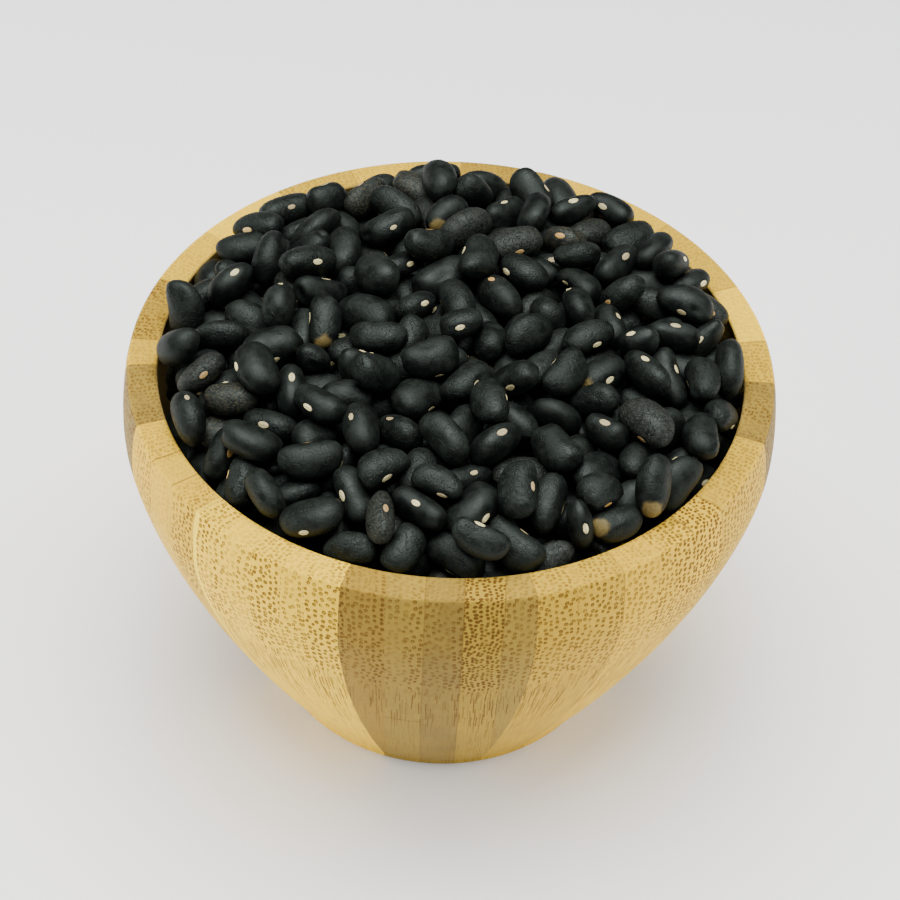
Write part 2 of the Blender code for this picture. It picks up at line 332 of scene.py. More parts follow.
@dataclass(frozen=True)
class BambooFinish:
    """Laminated bamboo, satin, with the dark rings and streaks of its vessels.

    A fade's four numbers are where it starts and ends, and what it turns from and to. A noise's
    three are its lumps in a unit, its finer layers and their strength.
    """

    front_reach: float = 25.0
    side_reach: float = 200.0
    block: Range = (-0.01825, 0.0175)
    block_edge: float = 0.0011
    block_edge_fine: float = 0.6
    wander: float = 0.3
    wander_noise: Noise = (60.0, 2.0, 0.5)
    joint_half_width: float = 0.12
    joint_step: float = 0.10
    joint_share: float = 0.40
    node_height: float = 0.0385
    node_span: Range = (-9.85, -2.85)
    node_wander: float = 0.0008
    node_noise: Noise = (700.0, 2.0, 0.5)
    node_softness: Range = (0.00045, 0.00015)
    node_share: float = 0.60
    own_shift: float = 173.0
    own_streak_shift: float = 0.01
    bend: float = 0.0012
    bend_low: float = 0.25
    bend_noise: Noise = (130.0, 1.0, 0.5)
    spacing: Range = (1.30, 0.90)
    slant: float = 0.55
    scatter: float = 0.55
    ring_squeeze: Range = (1.15, 1.4)
    ring_size: float = 0.190
    ring_size_fine: float = 0.08
    ring_size_spread: float = 0.09
    ring_upper: Fade = (-1.0, 0.5, 0.55, 1.0)
    ring_outline: Range = (0.125, 0.045)
    ring_softness: float = 0.07
    ring_fill: Range = (0.45, 0.55)
    ring_strength: Fade = (0.05, 0.45, 0.75, 1.0)
    streak_cell: Range = (0.56, 1.60)
    streak_scatter: float = 0.95
    streak_width: Range = (0.28, 0.08)
    streak_length: Range = (0.22, 0.30)
    streak_softness: float = 0.10
    streak_strength: Fade = (0.10, 0.80, 0.15, 1.0)
    streak_share: float = 0.85
    streak_heights: Range = (0.0600, 0.0515)
    bare: Fade = (0.0290, 0.0430, 0.25, 1.0)
    patch_cells: Range = (210.0, 45.0)
    patch_noise: Noise = (1.0, 2.0, 0.5)
    patch: Fade = (0.30, 0.56, 0.55, 1.30)
    ragged_noise: Noise = (2300.0, 2.0, 0.5)
    ragged: Fade = (0.30, 0.55, 0.60, 1.1)
    top_fine: Range = (0.55, 0.30)
    top_dots: float = 0.48
    # The rim's top face is painted lighter: partly real wear, partly painted light standing in for the light
    # that falls on the top.
    top_wear_and_light: float = 0.10
    vessel_colour: Colour = (0.100, 0.045, 0.009)
    vessel_share: float = 0.95
    fibre_cells: Range = (2600.0, 900.0)
    fibre_noise: Noise = (1.0, 3.0, 0.6)
    fibre: Range = (0.46, 0.70)
    fibre_low: Fade = (0.0, 1.0, 0.20, 0.90)
    fibre_share: float = 0.50
    mottle_noise: Noise = (90.0, 4.0, 0.6)
    wear: Fade = (0.35, 0.75, 0.06, 0.15)
    grain_noise: Noise = (1500.0, 3.0, 0.7)
    grain: Fade = (0.25, 0.75, 0.88, 1.10)
    # The inner wall and the rounding of the mouth are painted darker and greyer: partly a darker stain,
    # partly painted shade.
    inner_wall_stain_and_shade: Colour = (0.235, 0.168, 0.062)
    inside: Fade = (0.0053, 0.0061, 0.0, 0.85)
    roughness: Range = (0.50, 0.65)
    grain_roughness: float = 0.08
    specular: float = 0.06
    vessel_depth: float = 0.8
    fibre_depth: float = 0.3
    grain_depth: float = 0.25
    relief: float = 0.00006

    def ramp(
        self, graph: Graph, place: Socket, strips: tuple[Strip, ...], value: Reading, reach: float
    ) -> Socket:
        """Gives each strip its own value, even from edge to edge.

        Args:
            graph: The material's nodes.
            place: Millimetres across the strips.
            strips: The strips.
            value: Gives a strip's value.
            reach: Where the strips end on both sides, in millimetres.

        Returns:
            The value.
        """
        made = graph.node("ShaderNodeValToRGB")
        made.color_ramp.interpolation = "CONSTANT"
        elements = made.color_ramp.elements
        elements.remove(elements[1])
        elements[0].position = 0.0
        elements[0].color = (*value(strips[0]), 1.0)
        for strip in strips[1:]:
            elements.new((strip.start + reach) / (2.0 * reach)).color = (*value(strip), 1.0)
        return graph.wired(made, (graph.scaled(place, 0.5 / reach, 0.5),))

    def by_strip(self, board: Board, value: Reading, shift: float = 0.0) -> Socket:
        """Gives each strip of the sides and of the front block its own value.

        Args:
            board: The places.
            value: Gives a strip's value.
            shift: How far to one side it is read, in millimetres.

        Returns:
            The value.
        """
        graph = board.graph
        side = self.ramp(graph, graph.plus(board.round_mm, shift), SIDE_STRIPS, value, self.side_reach)
        front = self.ramp(graph, graph.plus(board.x_mm, shift), FRONT_STRIPS, value, self.front_reach)
        return graph.mix(board.front, side, front)

    def cells(
        self, graph: Graph, across: Socket, along: Socket, scatter: float
    ) -> tuple[list[Socket], Socket, Socket]:
        """Scatters a point in each cell of a grid with slanting rows.

        Args:
            graph: The material's nodes.
            across: The place across the grain, in cells.
            along: The place along the grain, in cells.
            scatter: How far the points are from the grid, from 0 to 1.

        Returns:
            Three chances that each point has for itself, and the way from the nearest point.
        """
        slanted = graph.scaled(across, self.slant, along)
        made = graph.node("ShaderNodeTexVoronoi", voronoi_dimensions="2D", feature="F1")
        graph.wired(made, (graph.vector(across, slanted), 1.0, scatter), ("Vector", "Scale", "Randomness"))
        middle = graph.parts(made.outputs["Position"])
        off_across = graph.minus(across, middle[0])
        off_along = graph.scaled(off_across, -self.slant, graph.minus(slanted, middle[1]))
        return graph.parts(made.outputs["Color"]), off_across, off_along

    def rings(self, graph: Graph, across: Socket, along: Socket, low: Socket, fine: Socket) -> Socket:
        """The vessels' cut ends high on the wall: small rings, darker on their upper side.

        Args:
            graph: The material's nodes.
            across: The place across the grain, in cells.
            along: The place along the grain, in cells.
            low: How far the wall runs along the fibres, from 0 to 1.
            fine: How fine the vessels are, from 0 to 1.

        Returns:
            Where the rings are, from 0 to 1.
        """
        chances, off_across, off_along = self.cells(graph, across, along, self.scatter)
        high_squeeze, more_squeeze = self.ring_squeeze
        wide = graph.times(off_across, graph.scaled(low, more_squeeze, high_squeeze))
        squares = [graph.math("POWER", off, 2.0) for off in (wide, off_along)]
        away = graph.math("SQRT", graph.plus(*squares))
        size = graph.scaled(fine, self.ring_size_fine, self.ring_size)
        size = graph.scaled(chances[0], self.ring_size_spread, size)
        upper = graph.fade(graph.math("DIVIDE", off_along, size), *self.ring_upper)
        outline = graph.times(graph.fade(graph.apart(away, size), *self.ring_outline), upper)
        filled = graph.fade(away, graph.plus(size, self.ring_softness), size)
        coarse_fill, more_fill = self.ring_fill
        filled = graph.times(filled, graph.scaled(fine, more_fill, coarse_fill))
        ring = graph.math("MAXIMUM", outline, filled)
        return graph.times(ring, graph.fade(chances[1], *self.ring_strength))

    def streaks(self, graph: Graph, across: Socket, along: Socket) -> Socket:
        """The vessels low on the wall, where they are cut along the fibres: fine upright streaks.

        Args:
            graph: The material's nodes.
            across: The place across the grain, in metres.
            along: The place along the grain, in metres.

        Returns:
            Where the streaks are, from 0 to 1.
        """
        wide_cell, long_cell = self.streak_cell
        across = graph.math("DIVIDE", graph.times(across, 1.0 / MM), wide_cell)
        along = graph.math("DIVIDE", graph.times(along, 1.0 / MM), long_cell)
        chances, off_across, off_along = self.cells(graph, across, along, self.streak_scatter)
        wide = graph.fade(graph.math("ABSOLUTE", off_across), *self.streak_width)
        shortest, spread = self.streak_length
        length = graph.scaled(chances[0], spread, shortest)
        ends = graph.fade(graph.math("ABSOLUTE", off_along), graph.plus(length, self.streak_softness), length)
        return graph.times(graph.times(wide, ends), graph.fade(chances[1], *self.streak_strength))

    def board(self, graph: Graph) -> Board:
        """Reads the places that the patterns need.

        Args:
            graph: The material's nodes.

        Returns:
            The places.
        """
        place = graph.node("ShaderNodeTexCoord").outputs["Object"]
        x, _, height = graph.parts(place)
        across, along, _ = graph.parts(graph.node("ShaderNodeUVMap", uv_map="grain").outputs[0])
        wander = graph.scaled(graph.noise(place, *self.wander_noise), 2.0 * self.wander, -self.wander)
        return Board(
            graph=graph,
            place=place,
            x=x,
            x_mm=graph.times(x, 1.0 / MM),
            height=height,
            across=across,
            along=along,
            round_mm=graph.plus(graph.times(across, 1.0 / MM), wander),
            front=graph.between(across, *self.block),
            on_top=graph.math("GREATER_THAN", graph.attribute("along"), 0.0),
            low=graph.fade(height, *self.streak_heights),
            ragged=graph.fade(graph.noise(place, *self.ragged_noise), *self.ragged),
        )

    def vessel_kinds(self, board: Board) -> tuple[Socket, Socket]:
        """Tells how strong and how fine each strip's vessels are.

        Args:
            board: The places.

        Returns:
            How strong they are and how fine they are.
        """
        graph = board.graph
        dots, fine, _ = graph.parts(self.by_strip(board, lambda strip: (strip.dots, strip.fine, 0.0)))
        edge = graph.apart(board.across, self.block[0] + self.block_edge / 2.0)
        edge = graph.math("LESS_THAN", edge, self.block_edge / 2.0)
        dots = graph.math("MAXIMUM", dots, edge)
        fine = graph.math("MAXIMUM", fine, graph.times(edge, self.block_edge_fine))
        top_dots = graph.times(dots, graph.scaled(fine, 1.0 - self.top_dots, self.top_dots))
        coarsest, more_fine = self.top_fine
        top_fine = graph.scaled(fine, more_fine, coarsest)
        return graph.blend(board.on_top, dots, top_dots), graph.blend(board.on_top, fine, top_fine)

    def vessels(self, board: Board, own: Socket) -> Socket:
        """The cut vessels: rings high on the wall, and streaks low on it.

        Args:
            board: The places.
            own: A number that each strip has for itself.

        Returns:
            Where they are, from 0 to 1.
        """
        graph = board.graph
        dots, fine = self.vessel_kinds(board)
        coarse, dense = self.spacing
        cell = graph.math("DIVIDE", 1.0 / MM, graph.scaled(fine, dense - coarse, coarse))
        bend = graph.scaled(graph.noise(board.place, *self.bend_noise), 2.0 * self.bend, -self.bend)
        bend = graph.times(bend, graph.scaled(board.low, self.bend_low - 1.0, 1.0))
        across = graph.plus(graph.blend(board.front, board.across, board.x), bend)
        along = graph.scaled(board.along, cell, own)
        rings = self.rings(graph, graph.times(across, cell), along, board.low, fine)
        streaks = self.streaks(graph, across, graph.scaled(own, self.own_streak_shift, board.along))
        vessel = graph.blend(board.low, rings, graph.times(streaks, self.streak_share))
        patch = graph.noise(self.stretched(board, self.patch_cells, own), *self.patch_noise)
        patch = graph.fade(patch, *self.patch)
        strength = graph.times(graph.times(dots, patch), graph.fade(board.height, *self.bare))
        return graph.math("MULTIPLY", graph.times(vessel, strength), board.ragged, clamp=True)

    def stretched(self, board: Board, cells: Range, own: Socket) -> Socket:
        """Gives a place to read a noise that is stretched along the grain, in cells per metre."""
        graph = board.graph
        return graph.vector(graph.times(board.across, cells[0]), graph.times(board.along, cells[1]), own)

    def jointed(self, board: Board, wood: Socket) -> Socket:
        """Draws the fine dark line of each joint between two strips.

        Args:
            board: The places.
            wood: The wood's colour.

        Returns:
            The colour with the lines.
        """
        graph = board.graph
        shifts = (-self.joint_half_width, self.joint_half_width)
        sides = tuple(self.by_strip(board, tone_of, shift) for shift in shifts)
        step = graph.wired(graph.node("ShaderNodeVectorMath", operation="DISTANCE"), sides, output=1)
        line = graph.fade(step, 0.0, self.joint_step)
        return graph.mix(graph.times(line, self.joint_share), wood, self.vessel_colour)

    def seamed(self, board: Board, wood: Socket) -> Socket:
        """Draws the thin seams between strips at the sides.

        Args:
            board: The places.
            wood: The wood's colour.

        Returns:
            The colour with the seams.
        """
        graph = board.graph
        for seam in SEAMS:
            start, end = (seam.half_width * share for share in seam.softness)
            most = graph.fade(board.on_top, 0.0, 1.0, *seam.shares)
            share = graph.times(graph.fade(graph.apart(board.round_mm, seam.place), start, end), most)
            wood = graph.mix(share, wood, seam.tone.value)
        return wood

    def node_line(self, board: Board) -> Socket:
        """The faint line across one strip of the front block, where the stem had a node.

        Args:
            board: The places.

        Returns:
            Where it is, from 0 to 1.
        """
        graph = board.graph
        lowest = self.node_height - self.node_wander
        uneven = graph.scaled(graph.noise(board.place, *self.node_noise), 2.0 * self.node_wander, lowest)
        line = graph.fade(graph.apart(board.height, uneven), *self.node_softness)
        line = graph.times(line, graph.between(board.x_mm, *self.node_span))
        return graph.times(line, graph.times(board.front, board.ragged))

    def build(self) -> bpy.types.Material:
        """Makes the material.

        Returns:
            The material.
        """
        graph = Graph("laminated_bamboo")
        board = self.board(graph)
        tone = self.by_strip(board, tone_of)
        own = graph.times(graph.parts(tone)[0], self.own_shift)
        vessels = self.vessels(board, own)
        fibres = graph.noise(self.stretched(board, self.fibre_cells, own), *self.fibre_noise)
        fibres = graph.times(graph.fade(fibres, *self.fibre), graph.fade(board.low, *self.fibre_low))
        mottle = graph.noise(board.place, *self.mottle_noise)
        fine_grain = graph.noise(board.place, *self.grain_noise)

        # Random wear from the mottle, plus the rim's top face painted lighter: partly real wear, partly
        # painted light standing in for the light that falls on the top.
        wear = graph.scaled(board.on_top, self.top_wear_and_light, graph.fade(mottle, *self.wear))
        wood = graph.mix(wear, tone, Tone.STRAW.value)
        grain = graph.fade(fine_grain, *self.grain)
        wood = graph.mix(1.0, wood, graph.vector(grain, grain, grain), "MULTIPLY")
        wood = graph.mix(graph.times(fibres, self.fibre_share), wood, Tone.CARAMEL.value)
        wood = self.jointed(board, wood)
        wood = graph.mix(graph.times(self.node_line(board), self.node_share), wood, self.vessel_colour)
        wood = graph.mix(graph.times(vessels, self.vessel_share), wood, self.vessel_colour)
        wood = self.seamed(board, wood)
        # Paints the inner wall and the mouth's rounding darker and greyer: partly a darker stain, partly
        # painted shade down inside the bowl.
        wood = graph.mix(graph.fade(graph.attribute("along"), *self.inside), wood, self.inner_wall_stain_and_shade)

        sunk = graph.plus(graph.times(vessels, self.vessel_depth), graph.times(fibres, self.fibre_depth))
        graph.bump(graph.minus(graph.times(fine_grain, self.grain_depth), sunk), self.relief)
        rough = graph.blend(vessels, *self.roughness)
        return graph.finish(wood, graph.scaled(fine_grain, self.grain_roughness, rough), self.specular)


def tone_of(strip: Strip) -> Colour:
    """The tone of a strip, as a colour."""
    return strip.tone.value


@dataclass(frozen=True)
class CoatFinish:
    """The dry seed coat: near black with a grey-green cast, satin, dusty and finely wrinkled.

    Each bean has a tint of its own, from 0 to 1, which sets how dusty, cracked or worn it is.
    """

    dark: Colour = (0.0008, 0.0014, 0.0011)
    pale: Colour = (0.0094, 0.0120, 0.0098)
    worn: Colour = (0.0300, 0.0290, 0.0235)
    sheen: Colour = (0.86, 1.0, 0.92)
    olive: Colour = (0.0400, 0.0340, 0.0170)
    bare: Colour = (0.135, 0.098, 0.029)
    bare_edge: Colour = (0.045, 0.034, 0.014)
    scar_rim: Colour = (0.002, 0.003, 0.003)
    mottle_noise: Noise = (380.0, 4.0, 0.62)
    pore_noise: Noise = (2400.0, 2.0, 0.6)
    fold_noise: Noise = (620.0, 2.0, 0.55)
    crease_width: float = 0.026
    cracked_tints: Fade = (0.25, 0.95, 0.10, 1.0)
    crack_dust: float = 0.60
    dust: Fade = (0.36, 0.70, 0.0, 0.60)
    dust_by_tint: float = 0.22
    dull_pores: Range = (0.40, 0.62)
    dull_tints: Fade = (0.86, 0.93, 0.0, 0.60)
    olive_pores: Range = (0.50, 0.66)
    olive_tints: Fade = (0.94, 0.97, 0.0, 0.8)
    scar_rim_start: Fade = (0.95, 1.10, 0.0, 0.75)
    scar_rim_end: Range = (1.75, 1.30)
    bare_wander: float = 0.25
    bare_edge_wear: Range = (0.42, 0.52)
    bare_wear: Range = (0.50, 0.60)
    bare_pores: Fade = (0.3, 0.7, 0.0, 0.35)
    roughness: Fade = (0.30, 0.70, 0.45, 0.64)
    specular: float = 0.28
    mottle_depth: float = 0.70
    crack_depth: float = 0.25
    leathery_repeat: float = 7.3
    leathery: Fade = (0.10, 0.95, 0.45, 1.3)
    relief: float = 0.00032

    def build(self) -> bpy.types.Material:
        """Makes the material.

        Returns:
            The material.
        """
        graph = Graph("bean_coat")
        place = graph.attribute("coat_place", "Vector")
        tint = graph.attribute("tint")
        scar = graph.attribute("scar")
        mottle = graph.noise(place, *self.mottle_noise)
        pores = graph.noise(place, *self.pore_noise)
        creases = graph.fade(graph.apart(graph.noise(place, *self.fold_noise), 0.5), self.crease_width, 0.0)
        cracks = graph.times(creases, graph.fade(tint, *self.cracked_tints))

        dust = graph.scaled(tint, self.dust_by_tint, graph.fade(mottle, *self.dust))
        coat = graph.mix(graph.scaled(cracks, self.crack_dust, dust), self.dark, self.pale)
        dull = graph.times(graph.fade(pores, *self.dull_pores), graph.fade(tint, *self.dull_tints))
        coat = graph.mix(dull, coat, self.worn)
        specks = graph.times(graph.fade(pores, *self.olive_pores), graph.fade(tint, *self.olive_tints))
        coat = graph.mix(specks, coat, self.olive)
        rim = graph.times(graph.fade(scar, *self.scar_rim_start), graph.fade(scar, *self.scar_rim_end))
        coat = graph.mix(rim, coat, self.scar_rim)
        wander = graph.scaled(mottle, 2.0 * self.bare_wander, -self.bare_wander)
        wear = graph.plus(graph.attribute("bare"), wander)
        coat = graph.mix(graph.fade(wear, *self.bare_edge_wear), coat, self.bare_edge)
        tan = graph.mix(graph.fade(pores, *self.bare_pores), self.bare, self.bare_edge)
        coat = graph.mix(graph.fade(wear, *self.bare_wear), coat, tan)

        height = graph.scaled(mottle, self.mottle_depth, graph.times(pores, 1.0 - self.mottle_depth))
        height = graph.scaled(cracks, -self.crack_depth, height)
        kind = graph.math("FRACT", graph.times(tint, self.leathery_repeat))
        graph.bump(graph.times(height, graph.fade(kind, *self.leathery)), self.relief)
        graph.feed(graph.shader.inputs["Specular Tint"], self.sheen)
        return graph.finish(coat, graph.fade(mottle, *self.roughness), self.specular)


@dataclass(frozen=True)
class ScarFinish:
    """The scar where the bean hung in its pod: cream, some of them tan or dull, with a fine slit."""

    cream: Colour = (0.600, 0.550, 0.280)
    tan: Colour = (0.460, 0.255, 0.045)
    slit: Colour = (0.180, 0.130, 0.070)
    tan_tints: Range = (0.72, 0.84)
    grain_noise: Noise = (3000.0, 2.0, 0.6)
    grain: Fade = (0.35, 0.75, 0.0, 0.35)
    dull_repeat: float = 5.1
    dull: Fade = (0.40, 0.95, 0.0, 0.60)
    slit_width: Fade = (0.22, 0.06, 0.0, 0.55)
    edge: Fade = (0.72, 1.0, 0.0, 0.70)
    roughness: float = 0.62
    relief: float = 0.00005

    def build(self) -> bpy.types.Material:
        """Makes the material.

        Returns:
            The material.
        """
        graph = Graph("bean_scar")
        tint = graph.attribute("tint")
        grain = graph.noise(graph.attribute("coat_place", "Vector"), *self.grain_noise)
        body = graph.mix(graph.fade(tint, *self.tan_tints), self.cream, self.tan)
        body = graph.mix(graph.fade(grain, *self.grain), body, self.slit)
        own = graph.math("FRACT", graph.times(tint, self.dull_repeat))
        body = graph.mix(graph.fade(own, *self.dull), body, self.slit)
        slit = graph.fade(graph.attribute("slit"), *self.slit_width)
        edge = graph.fade(graph.attribute("scar"), *self.edge)
        body = graph.mix(graph.math("MAXIMUM", slit, edge), body, self.slit)
        graph.bump(grain, self.relief)
        return graph.finish(body, self.roughness)


@dataclass(frozen=True)
class ShadeFinish:
    """What lies deep between the beans: the same coats, almost without light."""

    dark: Colour = (0.003, 0.004, 0.004)
    pale: Colour = (0.009, 0.012, 0.011)
    lump_noise: Noise = (160.0, 3.0, 0.5)
    roughness: float = 0.80
    relief: float = 0.0008

    def build(self) -> bpy.types.Material:
        """Makes the material.

        Returns:
            The material.
        """
        graph = Graph("deep_shade")
        lumps = graph.noise(graph.node("ShaderNodeTexCoord").outputs["Object"], *self.lump_noise)
        graph.bump(lumps, self.relief)
        return graph.finish(graph.mix(lumps, self.dark, self.pale), self.roughness)


def finish_piece(name: str, mesh: bpy.types.Mesh, finish: bpy.types.Material, node: str) -> None:
    """Puts a finished mesh in the scene: smooth, dressed, riding on the part and standing for a node.

    Args:
        name: The piece's name.
        mesh: Its mesh, in place.
        finish: Its material.
        node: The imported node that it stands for.
    """
    mesh.shade_smooth()
    mesh.materials.append(finish)
    piece = bpy.data.objects.new(name, mesh)
    bpy.context.scene.collection.objects.link(piece)
    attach(piece, BODY)
    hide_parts(node)
    LOG.info("%s: %d faces", name, len(mesh.polygons))


def meshed(name: str, shape: bmesh.types.BMesh) -> bpy.types.Mesh:
    """Makes a mesh of a shape.

    Args:
        name: The mesh's name.
        shape: The shape, which is freed.

    Returns:
        The mesh.
    """
    mesh = bpy.data.meshes.new(name)
    shape.to_mesh(mesh)
    shape.free()
    return mesh


class Held(Enum):
    """What a mesh holds at each point, as its type and the name of its data."""

    NUMBER = ("FLOAT", "value")
    VECTOR = ("FLOAT_VECTOR", "vector")


def hold(mesh: bpy.types.Mesh, name: str, values: list[np.ndarray], held: Held = Held.NUMBER) -> None:
    """Gives a mesh a number or a vector at each point.

    Args:
        mesh: The mesh.
        name: The value's name.
        values: The values, shape by shape.
        held: What they are.
    """
    kind, entry = held.value
    flat = np.concatenate([value.reshape(-1) for value in values]).astype(np.float32)
    mesh.attributes.new(name, kind, "POINT").data.foreach_set(entry, flat)


def turned(points: list[Point], sides: int) -> bmesh.types.BMesh:
    """Turns a closed solid from a profile that starts and ends on the axis.

    Args:
        points: The profile, as distances from the axis and heights.
        sides: How many sides it gets.

    Returns:
        The solid.
    """
    shape = bmesh.new()
    verts = [shape.verts.new((x, 0.0, z)) for x, z in points]
    edges = [shape.edges.new(pair) for pair in zip(verts, verts[1:])]
    bmesh.ops.spin(
        shape,
        geom=verts + edges,
        cent=(0.0, 0.0, 0.0),
        axis=(0.0, 0.0, 1.0),
        angle=math.tau,
        steps=sides,
        use_merge=True,
    )
    bmesh.ops.remove_doubles(shape, verts=shape.verts, dist=WELD)
    bmesh.ops.recalc_face_normals(shape, faces=shape.faces)
    return shape


@dataclass(frozen=True)
class BowlForm:
    """The bowl's outline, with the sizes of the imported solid."""

    height: float = 0.0838
    foot_radius: float = 0.0352
    foot_round: float = 0.0030
    widest_radius: float = 0.0648
    widest_height: float = 0.0712
    swell: float = 1.4
    rim_radius: float = 0.0635
    mouth_radius: float = 0.0584
    mouth_round: float = 0.0005
    wall: float = 0.0058
    floor: float = 0.0110
    floor_corner: float = 0.0180

    def outer_radius(self, height: float) -> float:
        """The outer radius.

        Args:
            height: The height above the foot.

        Returns:
            The radius there.
        """
        if height <= self.widest_height:
            left = 1.0 - height / self.widest_height
            return self.foot_radius + (self.widest_radius - self.foot_radius) * (1.0 - left**self.swell)
        over = (height - self.widest_height) / (self.height - self.widest_height)
        return self.widest_radius - (self.widest_radius - self.rim_radius) * over**2

    def inner_radius(self, height: float) -> float:
        """The inner radius above the rounded floor.

        Args:
            height: The height above the foot.

        Returns:
            The radius there.
        """
        over = max(0.0, (height - self.widest_height) / (self.height - self.widest_height))
        rim_wall = self.rim_radius - self.mouth_radius
        return self.outer_radius(height) - self.wall + (self.wall - rim_wall) * over

    def corner(self, inset: float, steps: int) -> list[Point]:
        """The rounded way from the inner wall down to the floor.

        Args:
            inset: How far it is drawn in from both.
            steps: How many points it has.

        Returns:
            Its points, from the top.
        """
        top = self.floor + self.floor_corner
        points = []
        for i in range(1, steps + 1):
            share = i / steps
            out = self.inner_radius(top) - self.floor_corner * share**2
            up = top - self.floor_corner * (1.0 - (1.0 - share) ** 2)
            points.append((out - inset, up + inset))
        return points


def arc(centre: Point, radius: float, start: float, end: float, steps: int) -> list[Point]:
    """Points of an arc, between two angles in degrees that count from outwards towards up."""
    angles = [math.radians(start + (end - start) * i / steps) for i in range(steps + 1)]
    return [(centre[0] + radius * math.cos(a), centre[1] + radius * math.sin(a)) for a in angles]


@dataclass
class Bowl:
    """The turned bowl."""

    form: BowlForm
    finish: BambooFinish
    sides: int = 192
    outer_steps: int = 44
    inner_steps: int = 16
    round_steps: int = 6
    top_detail: float = 1.3
    lip_inset: float = 0.0009
    lip_round: float = 0.0008
    streak_start: float = -0.0265
    streak_softness: float = 0.0030
    streak_squeeze: float = 0.14
    back_tolerance: float = 0.0001
    top_tolerance: float = 0.0004

    def profile(self) -> list[Point]:
        """The wall's outline, from the middle of the foot over the rim to the middle of the floor.

        Returns:
            Its points, as distances from the axis and heights.
        """
        form = self.form
        foot_round = form.foot_round
        foot = form.outer_radius(foot_round) - foot_round
        mouth = form.mouth_radius - self.lip_inset
        lip = form.height - self.lip_round
        points = [(0.0, 0.0)]
        points += arc((foot, foot_round), foot_round, -90.0, 0.0, self.round_steps)
        rise = lip - foot_round
        heights = [foot_round + rise * i / self.outer_steps for i in range(1, self.outer_steps)]
        points += [(form.outer_radius(height), height) for height in heights]
        points += arc((form.rim_radius - self.lip_round, lip), self.lip_round, 0.0, 90.0, self.round_steps)
        points.append(((form.rim_radius - self.lip_round + mouth + form.mouth_round) / 2.0, form.height))
        wall_top = form.height - form.mouth_round
        points += arc((mouth + form.mouth_round, wall_top), form.mouth_round, 90.0, 180.0, self.round_steps)
        drop = wall_top - form.floor - form.floor_corner
        heights = [wall_top - drop * i / self.inner_steps for i in range(1, self.inner_steps + 1)]
        points += [(form.inner_radius(height), height) for height in heights]
        points += form.corner(0.0, self.round_steps)
        points.append((0.0, form.floor))
        return points

    def lengths(self, points: np.ndarray) -> np.ndarray:
        """How far each profile point is from the rim's outer edge, along the wall and on inwards.

        Args:
            points: The profile.

        Returns:
            The distances, below zero on the outside.
        """
        steps = np.hypot(*np.diff(points, axis=0).T)
        run = np.concatenate([[0.0], np.cumsum(steps)])
        edge = np.argmin(np.hypot(*(points - (self.form.rim_radius, self.form.height)).T))
        return run - run[edge]

    def squeezed(self, along: np.ndarray) -> np.ndarray:
        """Draws the grain out low on the outside, where the wall runs along the fibres.

        Args:
            along: The true distances from the rim.

        Returns:
            The distances that the grain is read at.
        """
        soft = self.streak_softness
        low = soft * np.log1p(np.exp(-(along - self.streak_start) / soft))
        return along + low * (1.0 - self.streak_squeeze)

    def unwrapped(
        self, turn: np.ndarray, centre: np.ndarray, starts: np.ndarray, face: np.ndarray
    ) -> np.ndarray:
        """Keeps the corners of each face together where the turn starts anew at the back.

        Args:
            turn: Each corner's turn about the axis.
            centre: Whether the corner is on the axis.
            starts: Each face's first corner.
            face: Each corner's face.

        Returns:
            The turns.
        """
        turn = np.where(turn > math.pi - self.back_tolerance, -math.pi, turn)
        highest = np.maximum.reduceat(np.where(centre, -math.pi, turn), starts)
        lowest = np.minimum.reduceat(np.where(centre, math.pi, turn), starts)
        wraps = (highest - lowest)[face] > math.pi
        turn = np.where(wraps & (turn < 0.0), turn + math.tau, turn)
        highest = np.maximum.reduceat(np.where(centre, -math.pi, turn), starts)
        lowest = np.minimum.reduceat(np.where(centre, math.tau, turn), starts)
        return np.where(centre, ((highest + lowest) / 2.0)[face], turn)

    def map_grain(self, mesh: bpy.types.Mesh, points: np.ndarray) -> None:
        """Gives the bowl its grain map: round the rim across, and down the wall along.

        Args:
            mesh: The bowl.
            points: Its profile.
        """
        coords = np.empty(len(mesh.vertices) * 3)
        mesh.vertices.foreach_get("co", coords)
        coords = coords.reshape(-1, 3)
        radius = np.hypot(coords[:, 0], coords[:, 1])
        away = np.hypot(radius[:, None] - points[:, 0], coords[:, 2, None] - points[:, 1])
        along = self.lengths(points)[np.argmin(away, axis=1)]
        hold(mesh, "along", [along])
        loops = np.empty(len(mesh.loops), np.int32)
        mesh.loops.foreach_get("vertex_index", loops)
        starts = np.empty(len(mesh.polygons), np.int32)
        mesh.polygons.foreach_get("loop_start", starts)
        face = np.searchsorted(starts, np.arange(len(loops)), side="right") - 1
        turn = np.arctan2(coords[loops, 0], -coords[loops, 1])
        across = self.unwrapped(turn, radius[loops] < MM, starts, face) * self.form.rim_radius
        down = self.squeezed(along)[loops]
        face_height = np.minimum.reduceat(coords[loops, 2], starts)
        top = (face_height > self.form.height - self.top_tolerance)[face]
        grain = np.stack([across, np.where(top, down * self.top_detail, down)], axis=1)
        mesh.uv_layers.new(name="grain").data.foreach_set("uv", grain.astype(np.float32).reshape(-1))

    def build(self) -> None:
        """Turns the bowl, maps its grain and dresses it."""
        points = self.profile()
        mesh = meshed("bamboo_bowl", turned(points, self.sides))
        self.map_grain(mesh, np.array(points))
        finish_piece("bamboo_bowl", mesh, self.finish.build(), "bowl")


@dataclass(frozen=True)
class BeanSizes:
    """The range of the beans' sizes, and the main curves of their form."""

    length: Range = (0.0096, 0.0130)
    width: Range = (0.57, 0.68)
    thickness: Range = (0.74, 0.88)
    round_share: float = 0.10
    round_length: float = 0.0088
    round_width: float = 0.84
    bend: float = 0.13
    bluntness: float = 2.4


@dataclass
class Poured:
    """The beans at rest: their centres, half sizes and turns, and which of them shows where."""

    centres: np.ndarray
    halves: np.ndarray
    turns: np.ndarray
    shown: np.ndarray


